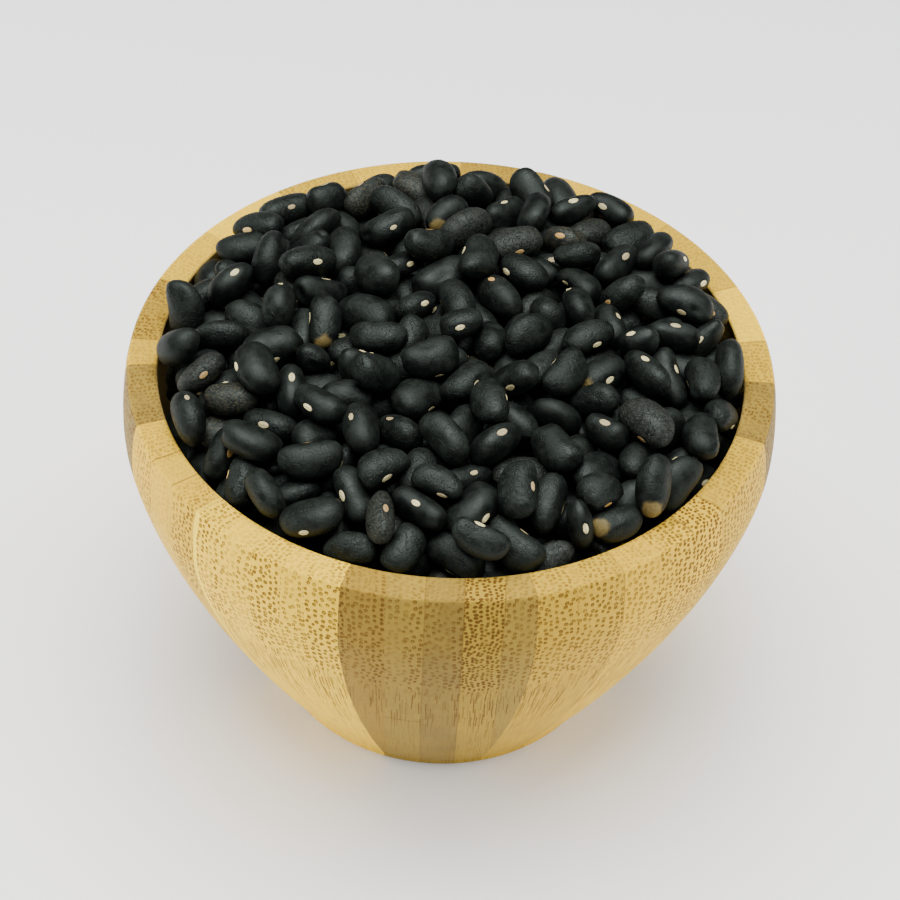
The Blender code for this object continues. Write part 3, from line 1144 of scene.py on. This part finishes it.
@dataclass
class Pour:
    """The pouring of the beans, one at a time, each to the lowest rest that it finds."""

    form: BowlForm
    sizes: BeanSizes
    count: int = 545
    dome_rise: float = 0.0074
    dome_edge: float = 0.0012
    overhang: float = 0.0060
    depth: float = 0.0190
    clearance: float = 0.0007
    seed: int = 3
    flat_share: float = 0.50
    flat_tip: float = 0.22
    flat_roll: float = 0.40
    edge_share: float = 0.34
    edge_tip: float = 0.25
    edge_roll: Range = (1.35, 0.35)
    scar_up_share: float = 0.6
    steep_tip: Range = (0.8, 0.25)
    cell: float = 0.0005
    reach: int = 15
    places: int = 48
    leans: int = 6
    yaw_reach: float = 0.6
    nudges: int = 3
    nudge_places: int = 9
    nudge_cells: int = 3
    nudge_leans: int = 8
    nudge_turn: Lean = (0.15, 0.12, 0.20)
    decimals: int = 7
    far: float = 1.0

    def dome(self, radius: np.ndarray) -> np.ndarray:
        """The height that the beans are poured to, at a distance from the axis."""
        form = self.form
        return form.height + self.dome_edge + self.dome_rise * (1.0 - (radius / form.mouth_radius) ** 2)

    def turn_matrix(self, yaw: float, tip: float, roll: float) -> np.ndarray:
        """The rotation of a bean: rolled about its length, tipped, then turned about the vertical."""
        turn = Matrix.Rotation(yaw, 3, "Z") @ Matrix.Rotation(tip, 3, "Y") @ Matrix.Rotation(roll, 3, "X")
        return np.array(turn)

    def surfaces(
        self, halves: np.ndarray, turns: np.ndarray, away: np.ndarray
    ) -> tuple[np.ndarray, np.ndarray]:
        """Heights of a bean's lower and upper surface above its centre, for each turn, cell by cell.

        Args:
            halves: The bean's half sizes.
            turns: The rotations.
            away: Where the cells are from the bean's centre.

        Returns:
            The lower heights and the upper heights, far off outside the bean's plan.
        """
        across, along = away
        stretch = turns / halves
        form = stretch @ np.transpose(stretch, (0, 2, 1))
        slope = form[:, 0, 2, None] * across + form[:, 1, 2, None] * along
        plan = (
            form[:, 0, 0, None] * across**2
            + 2.0 * form[:, 0, 1, None] * across * along
            + form[:, 1, 1, None] * along**2
            - 1.0
        )
        depth = slope**2 - form[:, 2, 2, None] * plan
        inside = depth > 0.0
        half = np.sqrt(np.where(inside, depth, 0.0))
        lower = np.where(inside, (-slope - half) / form[:, 2, 2, None], self.far)
        upper = np.where(inside, (-slope + half) / form[:, 2, 2, None], -self.far)
        return lower, upper

    def best_rest(
        self, heights: np.ndarray, halves: np.ndarray, leans: list, places: np.ndarray, around: np.ndarray
    ) -> tuple[tuple, np.ndarray, float]:
        """The lowest rest, against the dome, of one bean among some leans and places.

        Args:
            heights: The field of heights.
            halves: The bean's half sizes.
            leans: The leans to try.
            places: The cells to try.
            around: The cells round a bean.

        Returns:
            The lean, the cell and the height of the bean's centre.
        """
        turns = np.array([self.turn_matrix(*lean) for lean in leans])
        lower, _ = self.surfaces(halves, turns, around * self.cell)
        patch = heights[places[:, 0, None] + around[0], places[:, 1, None] + around[1]]
        rest = np.round((patch[:, None] - lower[None]).max(axis=2), self.decimals)
        middle = (len(heights) - 1) / 2.0
        radius = np.hypot(*(places - middle).T) * self.cell
        over = rest - self.dome(radius)[:, None]
        place, lean = np.unravel_index(np.argmin(np.round(over, self.decimals)), over.shape)
        return leans[lean], places[place], rest[place, lean]

    def draw_bean(self, rng: np.random.Generator) -> np.ndarray:
        """Draws the size of one bean.

        Args:
            rng: The random draws.

        Returns:
            Its half length, half width and half thickness.
        """
        sizes = self.sizes
        length = rng.triangular(sizes.length[0], sum(sizes.length) / 2.0, sizes.length[1])
        width = length * rng.uniform(*sizes.width)
        if rng.random() < sizes.round_share:
            length = sizes.round_length
            width = length * sizes.round_width
        thickness = width * rng.uniform(*sizes.thickness)
        return np.array([length, width, thickness]) / 2.0

    def draw_lean(self, rng: np.random.Generator) -> Lean:
        """Draws how a bean lies.

        Args:
            rng: The random draws.

        Returns:
            Its yaw, tip and roll.
        """
        yaw = rng.uniform(0.0, math.tau)
        kind = rng.random()
        if kind < self.flat_share:
            return yaw, rng.normal(0.0, self.flat_tip), rng.normal(0.0, self.flat_roll)
        if kind < self.flat_share + self.edge_share:
            side = 1.0 if rng.random() < self.scar_up_share else -1.0
            return yaw, rng.normal(0.0, self.edge_tip), side * rng.normal(*self.edge_roll)
        return yaw, rng.normal(*self.steep_tip), rng.uniform(0.0, math.tau)

    def first_leans(self, rng: np.random.Generator) -> list[Lean]:
        """Draws a few leans for one bean that differ in yaw."""
        yaw, tip, roll = self.draw_lean(rng)
        return [(yaw + rng.uniform(-self.yaw_reach, self.yaw_reach), tip, roll) for _ in range(self.leans)]

    def first_places(self, rng: np.random.Generator, halves: np.ndarray, middle: int) -> np.ndarray:
        """Draws cells where one bean may come down, spread evenly over the mouth.

        Args:
            rng: The random draws.
            halves: The bean's half sizes.
            middle: The cell on the axis.

        Returns:
            The cells.
        """
        out = (self.form.mouth_radius - halves[2]) * np.sqrt(rng.random(self.places))
        way = rng.uniform(0.0, math.tau, self.places)
        places = np.stack([out * np.cos(way), out * np.sin(way)], axis=1)
        return middle + np.round(places / self.cell).astype(int)

    def nudged(
        self, rng: np.random.Generator, lean: tuple, place: np.ndarray, last: int
    ) -> tuple[list, np.ndarray]:
        """Draws leans and cells close to the given ones, which come first.

        Args:
            rng: The random draws.
            lean: The lean so far.
            place: The cell so far.
            last: The field's last cell.

        Returns:
            The leans and the cells.
        """
        turns = [[rng.normal(0.0, spread) for spread in self.nudge_turn] for _ in range(self.nudge_leans)]
        leans = [lean] + [tuple(np.add(lean, turn)) for turn in turns]
        shift = rng.integers(-self.nudge_cells, self.nudge_cells + 1, (self.nudge_places, 2))
        places = np.vstack([place, place + shift])
        return leans, np.clip(places, self.reach, last - self.reach)

    def settle(self) -> Poured:
        """Pours the beans.

        Returns:
            The beans at rest.
        """
        rng = np.random.default_rng(self.seed)
        middle = math.ceil(self.form.rim_radius / self.cell) + self.reach
        last = 2 * middle
        radius = np.hypot(*(np.indices((last + 1, last + 1)) - middle)) * self.cell
        inside = radius < self.form.mouth_radius - self.clearance - self.cell / 2.0
        heights = np.where(inside, self.dome(radius) - self.depth, self.form.height + self.overhang)
        shown = np.full(heights.shape, -1)
        around = np.indices((2 * self.reach + 1, 2 * self.reach + 1)).reshape(2, -1) - self.reach
        centres, sizes, turned_ways = [], [], []
        for number in range(self.count):
            halves = self.draw_bean(rng)
            leans = self.first_leans(rng)
            places = self.first_places(rng, halves, middle)
            lean, place, rest = self.best_rest(heights, halves, leans, places, around)
            for _ in range(self.nudges):
                leans, places = self.nudged(rng, lean, place, last)
                lean, place, rest = self.best_rest(heights, halves, leans, places, around)
            turn = self.turn_matrix(*lean)
            top = rest + self.surfaces(halves, turn[None], around * self.cell)[1][0]
            cells = (place[0] + around[0], place[1] + around[1])
            higher = top > heights[cells]
            heights[cells] = np.where(higher, top, heights[cells])
            shown[cells] = np.where(higher, number, shown[cells])
            centres.append(np.append((place - middle) * self.cell, rest))
            sizes.append(halves)
            turned_ways.append(turn)
        return Poured(np.array(centres), np.array(sizes), np.array(turned_ways), shown)


class Kind(Enum):
    """The kinds of beans in the heap, by the state of their coats."""

    SMOOTH = "smooth"
    DENTED = "dented"
    WRINKLED = "wrinkled"
    WORN = "worn"


@dataclass(frozen=True)
class Unevenness:
    """How uneven one kind of bean is, in shares of its half sizes."""

    share: float
    lumps: Range
    dents: int
    dent_depth: Range
    creases: float
    bare: float
    segments: int
    rings: int


KINDS = {
    Kind.SMOOTH: Unevenness(0.465, (0.015, 0.034), 2, (0.00, 0.08), 0.003, 0.0, 24, 14),
    Kind.DENTED: Unevenness(0.31, (0.025, 0.055), 3, (0.06, 0.19), 0.010, 0.0, 30, 18),
    Kind.WRINKLED: Unevenness(0.20, (0.020, 0.042), 2, (0.03, 0.12), 0.045, 0.0, 42, 27),
    Kind.WORN: Unevenness(0.025, (0.015, 0.035), 2, (0.03, 0.12), 0.012, 1.0, 36, 22),
}


@dataclass
class BeanShapes:
    """The form of each poured bean: what makes it differ from its neighbours."""

    poured: Poured
    sizes: BeanSizes
    seed: int = 11
    waves: int = 6
    wave_reach: Range = (1.6, 4.2)
    crease_reach: Range = (5.0, 11.0)
    most_dents: int = 3
    dent_reach: Range = (0.35, 0.80)
    taper_spread: float = 0.055
    scar_half_length: float = 0.00112
    scar_half_width: float = 0.00062
    scar_shift: float = 0.16
    scar_notch: float = 0.00022
    bare_reach: Range = (0.34, 0.62)
    bare_lean: float = 0.75
    bare_aside: float = 0.35
    bare_edge: float = 0.5
    front_top: Place = (0.0, -0.736, 0.677)
    turned_share: float = 0.5
    turned_from: float = 0.25
    bends: Range = (0.35, 1.20)
    bluntnesses: Range = (0.90, 1.22)
    scar_sizes: Range = (0.78, 1.14)
    scar_notch_reach: float = 1.5
    other_side: float = 9.0
    warp: float = 0.18
    warp_waves: float = 3.0

    def __post_init__(self) -> None:
        """Draws what makes each bean different."""
        rng = np.random.default_rng(self.seed)
        count = len(self.poured.centres)
        kinds = list(KINDS)
        picks = rng.choice(len(kinds), size=count, p=[KINDS[kind].share for kind in kinds])
        self.kinds = np.array(kinds, dtype=object)[picks]
        uneven = [KINDS[kind] for kind in self.kinds]
        self.tint = rng.random(count)
        self.taper = rng.normal(0.0, self.taper_spread, count)
        self.bend = self.sizes.bend * rng.uniform(*self.bends, count)
        self.bluntness = self.sizes.bluntness * rng.uniform(*self.bluntnesses, count)
        self.wave_ways, self.wave_starts = self.draw_waves(rng, count, self.wave_reach)
        lumps = np.array([rng.uniform(*kind.lumps) for kind in uneven])
        self.lumps = lumps / math.sqrt(self.waves)
        self.crease_ways, self.crease_starts = self.draw_waves(rng, count, self.crease_reach)
        self.creases = np.array([kind.creases for kind in uneven])
        self.dent_ways = self.unit(rng.normal(size=(count, self.most_dents, 3)))
        self.dent_reaches = rng.uniform(*self.dent_reach, (count, self.most_dents))
        depths = [
            [rng.uniform(*kind.dent_depth) if i < kind.dents else 0.0 for i in range(self.most_dents)]
            for kind in uneven
        ]
        self.dent_depths = np.array(depths)
        self.scar_places = rng.normal(0.0, self.scar_shift, count)
        self.scar_size = rng.uniform(*self.scar_sizes, count)
        facing = np.einsum("i,bij->bj", self.front_top, self.poured.turns)
        aside = rng.normal(0.0, self.bare_aside, (count, 2))
        ends = np.column_stack([np.where(facing[:, 0] > 0.0, 1.0, -1.0), aside])
        self.bare_ways = self.unit(ends + self.bare_lean * facing)
        turned_side = (facing[:, 1] > self.turned_from) & (rng.random(count) < self.turned_share)
        self.scar_sides = np.where(turned_side, 1.0, -1.0)
        self.bare_reaches = rng.uniform(*self.bare_reach, count)
        self.bare = np.array([kind.bare for kind in uneven])
        self.offsets = rng.uniform(-1.0, 1.0, (count, 3))

    def draw_waves(self, rng: np.random.Generator, count: int, reach: Range) -> tuple[np.ndarray, np.ndarray]:
        """Draws the waves that make a coat uneven.

        Args:
            rng: The random draws.
            count: How many beans there are.
            reach: How fine the waves are, at least and at most.

        Returns:
            Their directions, longer for finer waves, and where they start.
        """
        ways = self.unit(rng.normal(size=(count, self.waves, 3)))
        ways = ways * rng.uniform(*reach, (count, self.waves, 1))
        return ways, rng.uniform(0.0, math.tau, (count, self.waves))

    @staticmethod
    def unit(vectors: np.ndarray) -> np.ndarray:
        """Gives vectors a length of one."""
        return vectors / np.linalg.norm(vectors, axis=-1, keepdims=True)

    def relief(self, chosen: np.ndarray, ways: np.ndarray) -> np.ndarray:
        """How far the coat stands out or in, as a share of the distance from the bean's middle.

        Args:
            chosen: The beans.
            ways: Directions from each bean's middle, in its own frame.

        Returns:
            The shares.
        """
        phase = np.einsum("bvi,bki->bvk", ways, self.wave_ways[chosen]) + self.wave_starts[chosen, None]
        lumps = np.sin(phase).sum(axis=2) * self.lumps[chosen, None]
        warp = np.sin(self.warp_waves * ways[:, :, [1, 2, 0]] + self.wave_starts[chosen, None, :3])
        warp = ways + self.warp * warp
        phase = np.einsum("bvi,bki->bvk", warp, self.crease_ways[chosen]) + self.crease_starts[chosen, None]
        creases = (np.abs(np.sin(phase)) - 1.0).min(axis=2) * self.creases[chosen, None]
        near = np.einsum("bvi,bki->bvk", ways, self.dent_ways[chosen])
        away = np.arccos(np.clip(near, -1.0, 1.0)) / self.dent_reaches[chosen, None]
        share = np.clip(1.0 - away, 0.0, 1.0)
        dents = (share**2 * (3.0 - 2.0 * share) * self.dent_depths[chosen, None]).sum(axis=2)
        return lumps + creases - dents

    def scar_distance(self, chosen: np.ndarray, points: np.ndarray, ways: np.ndarray) -> np.ndarray:
        """How far a point of the coat is from the scar's middle: 1 at the scar's edge.

        Args:
            chosen: The beans.
            points: The points, in the bean's own frame.
            ways: Their directions from the bean's middle.

        Returns:
            The distances.
        """
        halves = self.poured.halves[chosen]
        along = points[:, :, 0] - (self.scar_places[chosen] * halves[:, 0])[:, None]
        size = self.scar_size[chosen, None]
        upward = points[:, :, 2] / (self.scar_half_width * size)
        reach = np.hypot(along / (self.scar_half_length * size), upward)
        return np.where(ways[:, :, 1] * self.scar_sides[chosen, None] > 0.0, reach, self.other_side)

    def body(self, chosen: np.ndarray, ways: np.ndarray) -> tuple[np.ndarray, np.ndarray]:
        """The coat in each bean's own frame.

        Args:
            chosen: The beans.
            ways: Directions from each bean's middle, of length one.

        Returns:
            The points, in metres, and their distances from the scar.
        """
        power = self.bluntness[chosen, None]
        round_out = np.hypot(ways[:, :, 1], ways[:, :, 2])
        blunt = (np.abs(ways[:, :, 0]) ** power + round_out**power) ** (-1.0 / power)
        points = ways * (blunt * (1.0 + self.relief(chosen, ways)))[:, :, None]
        points[:, :, 1:] *= 1.0 + self.taper[chosen, None, None] * points[:, :, :1]
        points[:, :, 1] += self.bend[chosen, None] * (0.5 - 2.0 * points[:, :, 0] ** 2)
        points *= self.poured.halves[chosen, None]
        scar = self.scar_distance(chosen, points, ways)
        notch = self.scar_notch * np.exp(-((scar / self.scar_notch_reach) ** 2))
        points[:, :, 1] -= self.scar_sides[chosen, None] * notch
        return points, scar

    def placed(self, chosen: np.ndarray, points: np.ndarray) -> np.ndarray:
        """Brings points from each bean's own frame to its place in the heap."""
        turned_points = np.einsum("bij,bvj->bvi", self.poured.turns[chosen], points)
        return turned_points + self.poured.centres[chosen, None]

    def bareness(self, chosen: np.ndarray, ways: np.ndarray) -> np.ndarray:
        """How worn the coat is: over one half where it has come off.

        Args:
            chosen: The beans.
            ways: Directions from each bean's middle.

        Returns:
            The wear, from 0 to 1.
        """
        near = np.einsum("bvi,bi->bv", ways, self.bare_ways[chosen])
        away = np.arccos(np.clip(near, -1.0, 1.0)) / self.bare_reaches[chosen, None]
        return np.clip(1.0 - self.bare_edge * away, 0.0, 1.0) * self.bare[chosen, None]


def joined(name: str, copies: list[tuple[np.ndarray, list[tuple[int, ...]]]]) -> bpy.types.Mesh:
    """Joins many copies of a few shapes into one mesh.

    Args:
        name: The mesh's name.
        copies: For each shape the points of its copies, and the faces of one copy.

    Returns:
        The mesh.
    """
    mesh = bpy.data.meshes.new(name)
    coords = np.concatenate([points.reshape(-1, 3) for points, _ in copies])
    corners, totals = [], []
    first = 0
    for points, faces in copies:
        count, size = points.shape[:2]
        flat = np.concatenate([np.array(face) for face in faces])
        steps = first + size * np.arange(count)
        corners.append((flat[None] + steps[:, None]).reshape(-1))
        totals.append(np.tile([len(face) for face in faces], count))
        first += count * size
    corner = np.concatenate(corners).astype(np.int32)
    total = np.concatenate(totals).astype(np.int32)
    mesh.vertices.add(len(coords))
    mesh.vertices.foreach_set("co", coords.astype(np.float32).reshape(-1))
    mesh.loops.add(len(corner))
    mesh.loops.foreach_set("vertex_index", corner)
    mesh.polygons.add(len(total))
    mesh.polygons.foreach_set("loop_start", np.concatenate([[0], np.cumsum(total)[:-1]]).astype(np.int32))
    mesh.polygons.foreach_set("loop_total", total)
    mesh.update(calc_edges=True)
    mesh.validate()
    return mesh


class Poles(Enum):
    """The axis that a ball's poles are on, as the axis that it is turned about."""

    ON_X = "Y"
    ON_Y = "X"


def ball(segments: int, rings: int, poles: Poles) -> tuple[np.ndarray, list[tuple[int, ...]]]:
    """A ball of radius one.

    Args:
        segments: How many sides it has.
        rings: How many rings of faces it has.
        poles: The axis that its poles are on.

    Returns:
        Its points and faces.
    """
    shape = bmesh.new()
    turn = Matrix.Rotation(math.pi / 2.0, 4, poles.value)
    bmesh.ops.create_uvsphere(shape, u_segments=segments, v_segments=rings, radius=1.0, matrix=turn)
    bmesh.ops.recalc_face_normals(shape, faces=shape.faces)
    points = np.array([vert.co[:] for vert in shape.verts])
    faces = [tuple(vert.index for vert in face.verts) for face in shape.faces]
    shape.free()
    return points, faces


@dataclass
class Heap:
    """The real beans, their scars, and the core beneath them."""

    form: BowlForm
    pour: Pour
    sizes: BeanSizes
    coat: CoatFinish
    scar: ScarFinish
    shade: ShadeFinish
    buried_segments: int = 14
    buried_rings: int = 9
    scar_segments: int = 16
    scar_rings: int = 6
    scar_thickness: float = 0.00012
    core_sides: int = 96
    core_rings: int = 22
    core_wall_steps: int = 6
    core_inset: float = 0.0006
    core_overlap: float = 0.0012
    core_edge_drop: float = 0.0190
    shown: np.ndarray = field(init=False)

    def build(self) -> None:
        """Pours the beans and makes every piece of the heap."""
        poured = self.pour.settle()
        LOG.info("poured %d beans", len(poured.centres))
        shapes = BeanShapes(poured, self.sizes)
        self.shown = np.bincount(poured.shown[poured.shown >= 0], minlength=len(poured.centres)) > 0
        coat = self.coat.build()
        for kind in Kind:
            self.build_beans(kind, shapes, coat)
        self.build_scars(shapes)
        self.build_core()

    def build_beans(self, kind: Kind, shapes: BeanShapes, coat: bpy.types.Material) -> None:
        """Makes the beans of one kind: finely where they show, and more simply where they are buried.

        Args:
            kind: The kind.
            shapes: The beans' forms.
            coat: Their material.
        """
        uneven = KINDS[kind]
        copies, places = [], []
        numbers = {"scar": [], "bare": [], "tint": []}
        for visible, segments, rings in (
            (True, uneven.segments, uneven.rings),
            (False, self.buried_segments, self.buried_rings),
        ):
            chosen = np.flatnonzero((shapes.kinds == kind) & (self.shown == visible))
            if not len(chosen):
                continue
            ways, faces = ball(segments, rings, Poles.ON_X)
            ways = np.broadcast_to(ways, (len(chosen), *ways.shape)).copy()
            points, scar = shapes.body(chosen, ways)
            copies.append((shapes.placed(chosen, points), faces))
            places.append(points + shapes.offsets[chosen, None])
            numbers["scar"].append(scar)
            numbers["bare"].append(shapes.bareness(chosen, ways))
            numbers["tint"].append(np.repeat(shapes.tint[chosen], ways.shape[1]))
        mesh = joined("beans_" + kind.value, copies)
        hold(mesh, "coat_place", places, Held.VECTOR)
        for name, values in numbers.items():
            hold(mesh, name, values)
        finish_piece("beans_" + kind.value, mesh, coat, "beans")

    def build_scars(self, shapes: BeanShapes) -> None:
        """Makes the small oval scar on each bean that shows: a thin lens that follows the coat.

        Args:
            shapes: The beans' forms.
        """
        chosen = np.flatnonzero(self.shown)
        disc, faces = ball(self.scar_segments, self.scar_rings, Poles.ON_Y)
        halves = shapes.poured.halves[chosen]
        size = shapes.scar_size[chosen, None]
        across = disc[None, :, 0] * shapes.scar_half_length * size / halves[:, :1]
        across = across + shapes.scar_places[chosen, None]
        upward = disc[None, :, 2] * shapes.scar_half_width * size / halves[:, 2:]
        side = np.broadcast_to(shapes.scar_sides[chosen, None], across.shape)
        ways = np.stack([across, side, upward], axis=2)
        points, _ = shapes.body(chosen, shapes.unit(ways))
        points[:, :, 1] += disc[None, :, 1] * self.scar_thickness
        mesh = joined("bean_scars", [(shapes.placed(chosen, points), faces)])
        reach = np.hypot(disc[:, 0], disc[:, 2])
        hold(mesh, "coat_place", [points + shapes.offsets[chosen, None]], Held.VECTOR)
        hold(mesh, "scar", [np.tile(reach, len(chosen))])
        hold(mesh, "slit", [np.tile(np.abs(disc[:, 2]), len(chosen))])
        hold(mesh, "tint", [np.repeat(shapes.tint[chosen], len(reach))])
        finish_piece("bean_scars", mesh, self.scar.build(), "beans")

    def build_core(self) -> None:
        """Makes the core: it fills the bowl to where the lowest beans lie."""
        form = self.form
        limit = form.mouth_radius - self.pour.clearance
        wall_foot = form.floor + form.floor_corner
        wall_top = form.height - self.core_edge_drop
        inset = self.pour.clearance
        points = [(0.0, form.floor + inset)] + form.corner(inset, self.core_wall_steps)[::-1]
        for i in range(self.core_wall_steps + 1):
            height = wall_foot + (wall_top - wall_foot) * i / self.core_wall_steps
            points.append((min(form.inner_radius(height) - 2.0 * inset, limit - self.core_inset), height))
        edge = points[-1][0]
        points += [(edge * (1.0 - i / self.core_rings), form.height) for i in range(1, self.core_rings + 1)]
        shape = turned(points, self.core_sides)
        for vert in shape.verts:
            if vert.co.z > (wall_top + form.height) / 2.0:
                radius = math.hypot(vert.co.x, vert.co.y)
                vert.co.z = self.pour.dome(radius) - self.pour.depth + self.core_overlap
        finish_piece("heap_core", meshed("heap_core", shape), self.shade.build(), "beans")


@dataclass(frozen=True)
class Lamp:
    """A soft light: its place, its width and height, its watts, and whether it makes highlights."""

    name: str
    place: Place
    size: Range
    power: float
    shines: bool = False


LAMPS = (
    Lamp("top_light", (-0.02, 0.02, 0.75), (0.60, 0.60), 13.6, shines=True),
    Lamp("left_light", (-0.68, -0.05, 0.16), (0.70, 0.28), 10.0),
    Lamp("right_light", (0.68, -0.06, 0.16), (0.70, 0.28), 9.0),
    Lamp("front_light", (0.0, -0.80, 0.34), (0.80, 0.40), 0.8),
)


@dataclass
class Studio:
    """The pale floor, the soft light and the camera."""

    form: BowlForm
    floor_reach: float = 3.0
    floor_colour: Colour = (0.93, 0.93, 0.93)
    floor_roughness: float = 0.9
    world_strength: float = 0.08
    focal_pixels: float = 2260.0
    image_pixels: float = 900.0
    sensor: float = 36.0
    elevation: float = 42.59
    roll: float = 2.61
    axis_pixel: Point = (451.7, 358.8)
    distance_in_rims: float = 7.0

    def build(self) -> None:
        """Makes the floor, the light and the camera."""
        self.build_floor()
        self.build_world()
        for lamp in LAMPS:
            self.add_light(lamp)
        self.build_camera()

    def build_floor(self) -> None:
        """Makes the plain pale floor."""
        shape = bmesh.new()
        bmesh.ops.create_grid(shape, x_segments=2, y_segments=2, size=self.floor_reach)
        mesh = meshed("studio_floor", shape)
        mesh.materials.append(Graph("pale_floor").finish(self.floor_colour, self.floor_roughness))
        floor = bpy.data.objects.new("studio_floor", mesh)
        bpy.context.scene.collection.objects.link(floor)

    def build_world(self) -> None:
        """Makes the even white surroundings."""
        world = bpy.data.worlds.new("studio")
        world.use_nodes = True
        background = world.node_tree.nodes["Background"]
        background.inputs["Color"].default_value = (1.0, 1.0, 1.0, 1.0)
        background.inputs["Strength"].default_value = self.world_strength
        bpy.context.scene.world = world

    def add_light(self, lamp: Lamp) -> None:
        """Adds a soft light that faces the bowl.

        Args:
            lamp: The light's values.
        """
        light = bpy.data.lights.new(lamp.name, "AREA")
        light.shape = "RECTANGLE"
        light.size, light.size_y = lamp.size
        light.energy = lamp.power
        stand = bpy.data.objects.new(lamp.name, light)
        stand.location = lamp.place
        aim = Vector((0.0, 0.0, self.form.height / 2.0)) - stand.location
        stand.rotation_mode = "QUATERNION"
        stand.rotation_quaternion = aim.to_track_quat("-Z", "Y")
        stand.visible_camera = False
        stand.visible_glossy = lamp.shines
        bpy.context.scene.collection.objects.link(stand)

    def build_camera(self) -> None:
        """Makes the camera: it looks down on the middle of the rim, which lies off the image's middle."""
        tip, roll = math.radians(self.elevation), math.radians(self.roll)
        back = Vector((0.0, -math.cos(tip), math.sin(tip)))
        level = Vector((1.0, 0.0, 0.0))
        upright = level.cross(-back)
        right = math.cos(roll) * level + math.sin(roll) * upright
        up = -math.sin(roll) * level + math.cos(roll) * upright
        half = self.image_pixels / 2.0
        pixel = Vector((self.axis_pixel[0] - half, half - self.axis_pixel[1], -self.focal_pixels))
        swing = Vector((0.0, 0.0, -1.0)).rotation_difference(pixel.normalized()).to_matrix()
        turn = (swing @ Matrix((right, up, back))).transposed()
        lens = bpy.data.cameras.new("camera")
        lens.sensor_width = self.sensor
        lens.lens = self.focal_pixels / self.image_pixels * self.sensor
        camera = bpy.data.objects.new("camera", lens)
        middle = Vector((0.0, 0.0, self.form.height))
        place = middle + back * self.distance_in_rims * self.form.rim_radius
        camera.matrix_world = Matrix.Translation(place) @ turn.to_4x4()
        bpy.context.scene.collection.objects.link(camera)
        bpy.context.scene.camera = camera


def main() -> None:
    """Builds the bowl, the heap and the studio."""
    logging.basicConfig(level=logging.INFO, format="%(name)s: %(message)s")
    form = BowlForm()
    sizes = BeanSizes()
    Studio(form).build()
    Bowl(form, BambooFinish()).build()
    Heap(form, Pour(form, sizes), sizes, CoatFinish(), ScarFinish(), ShadeFinish()).build()


if __name__ == "__main__":
    main()
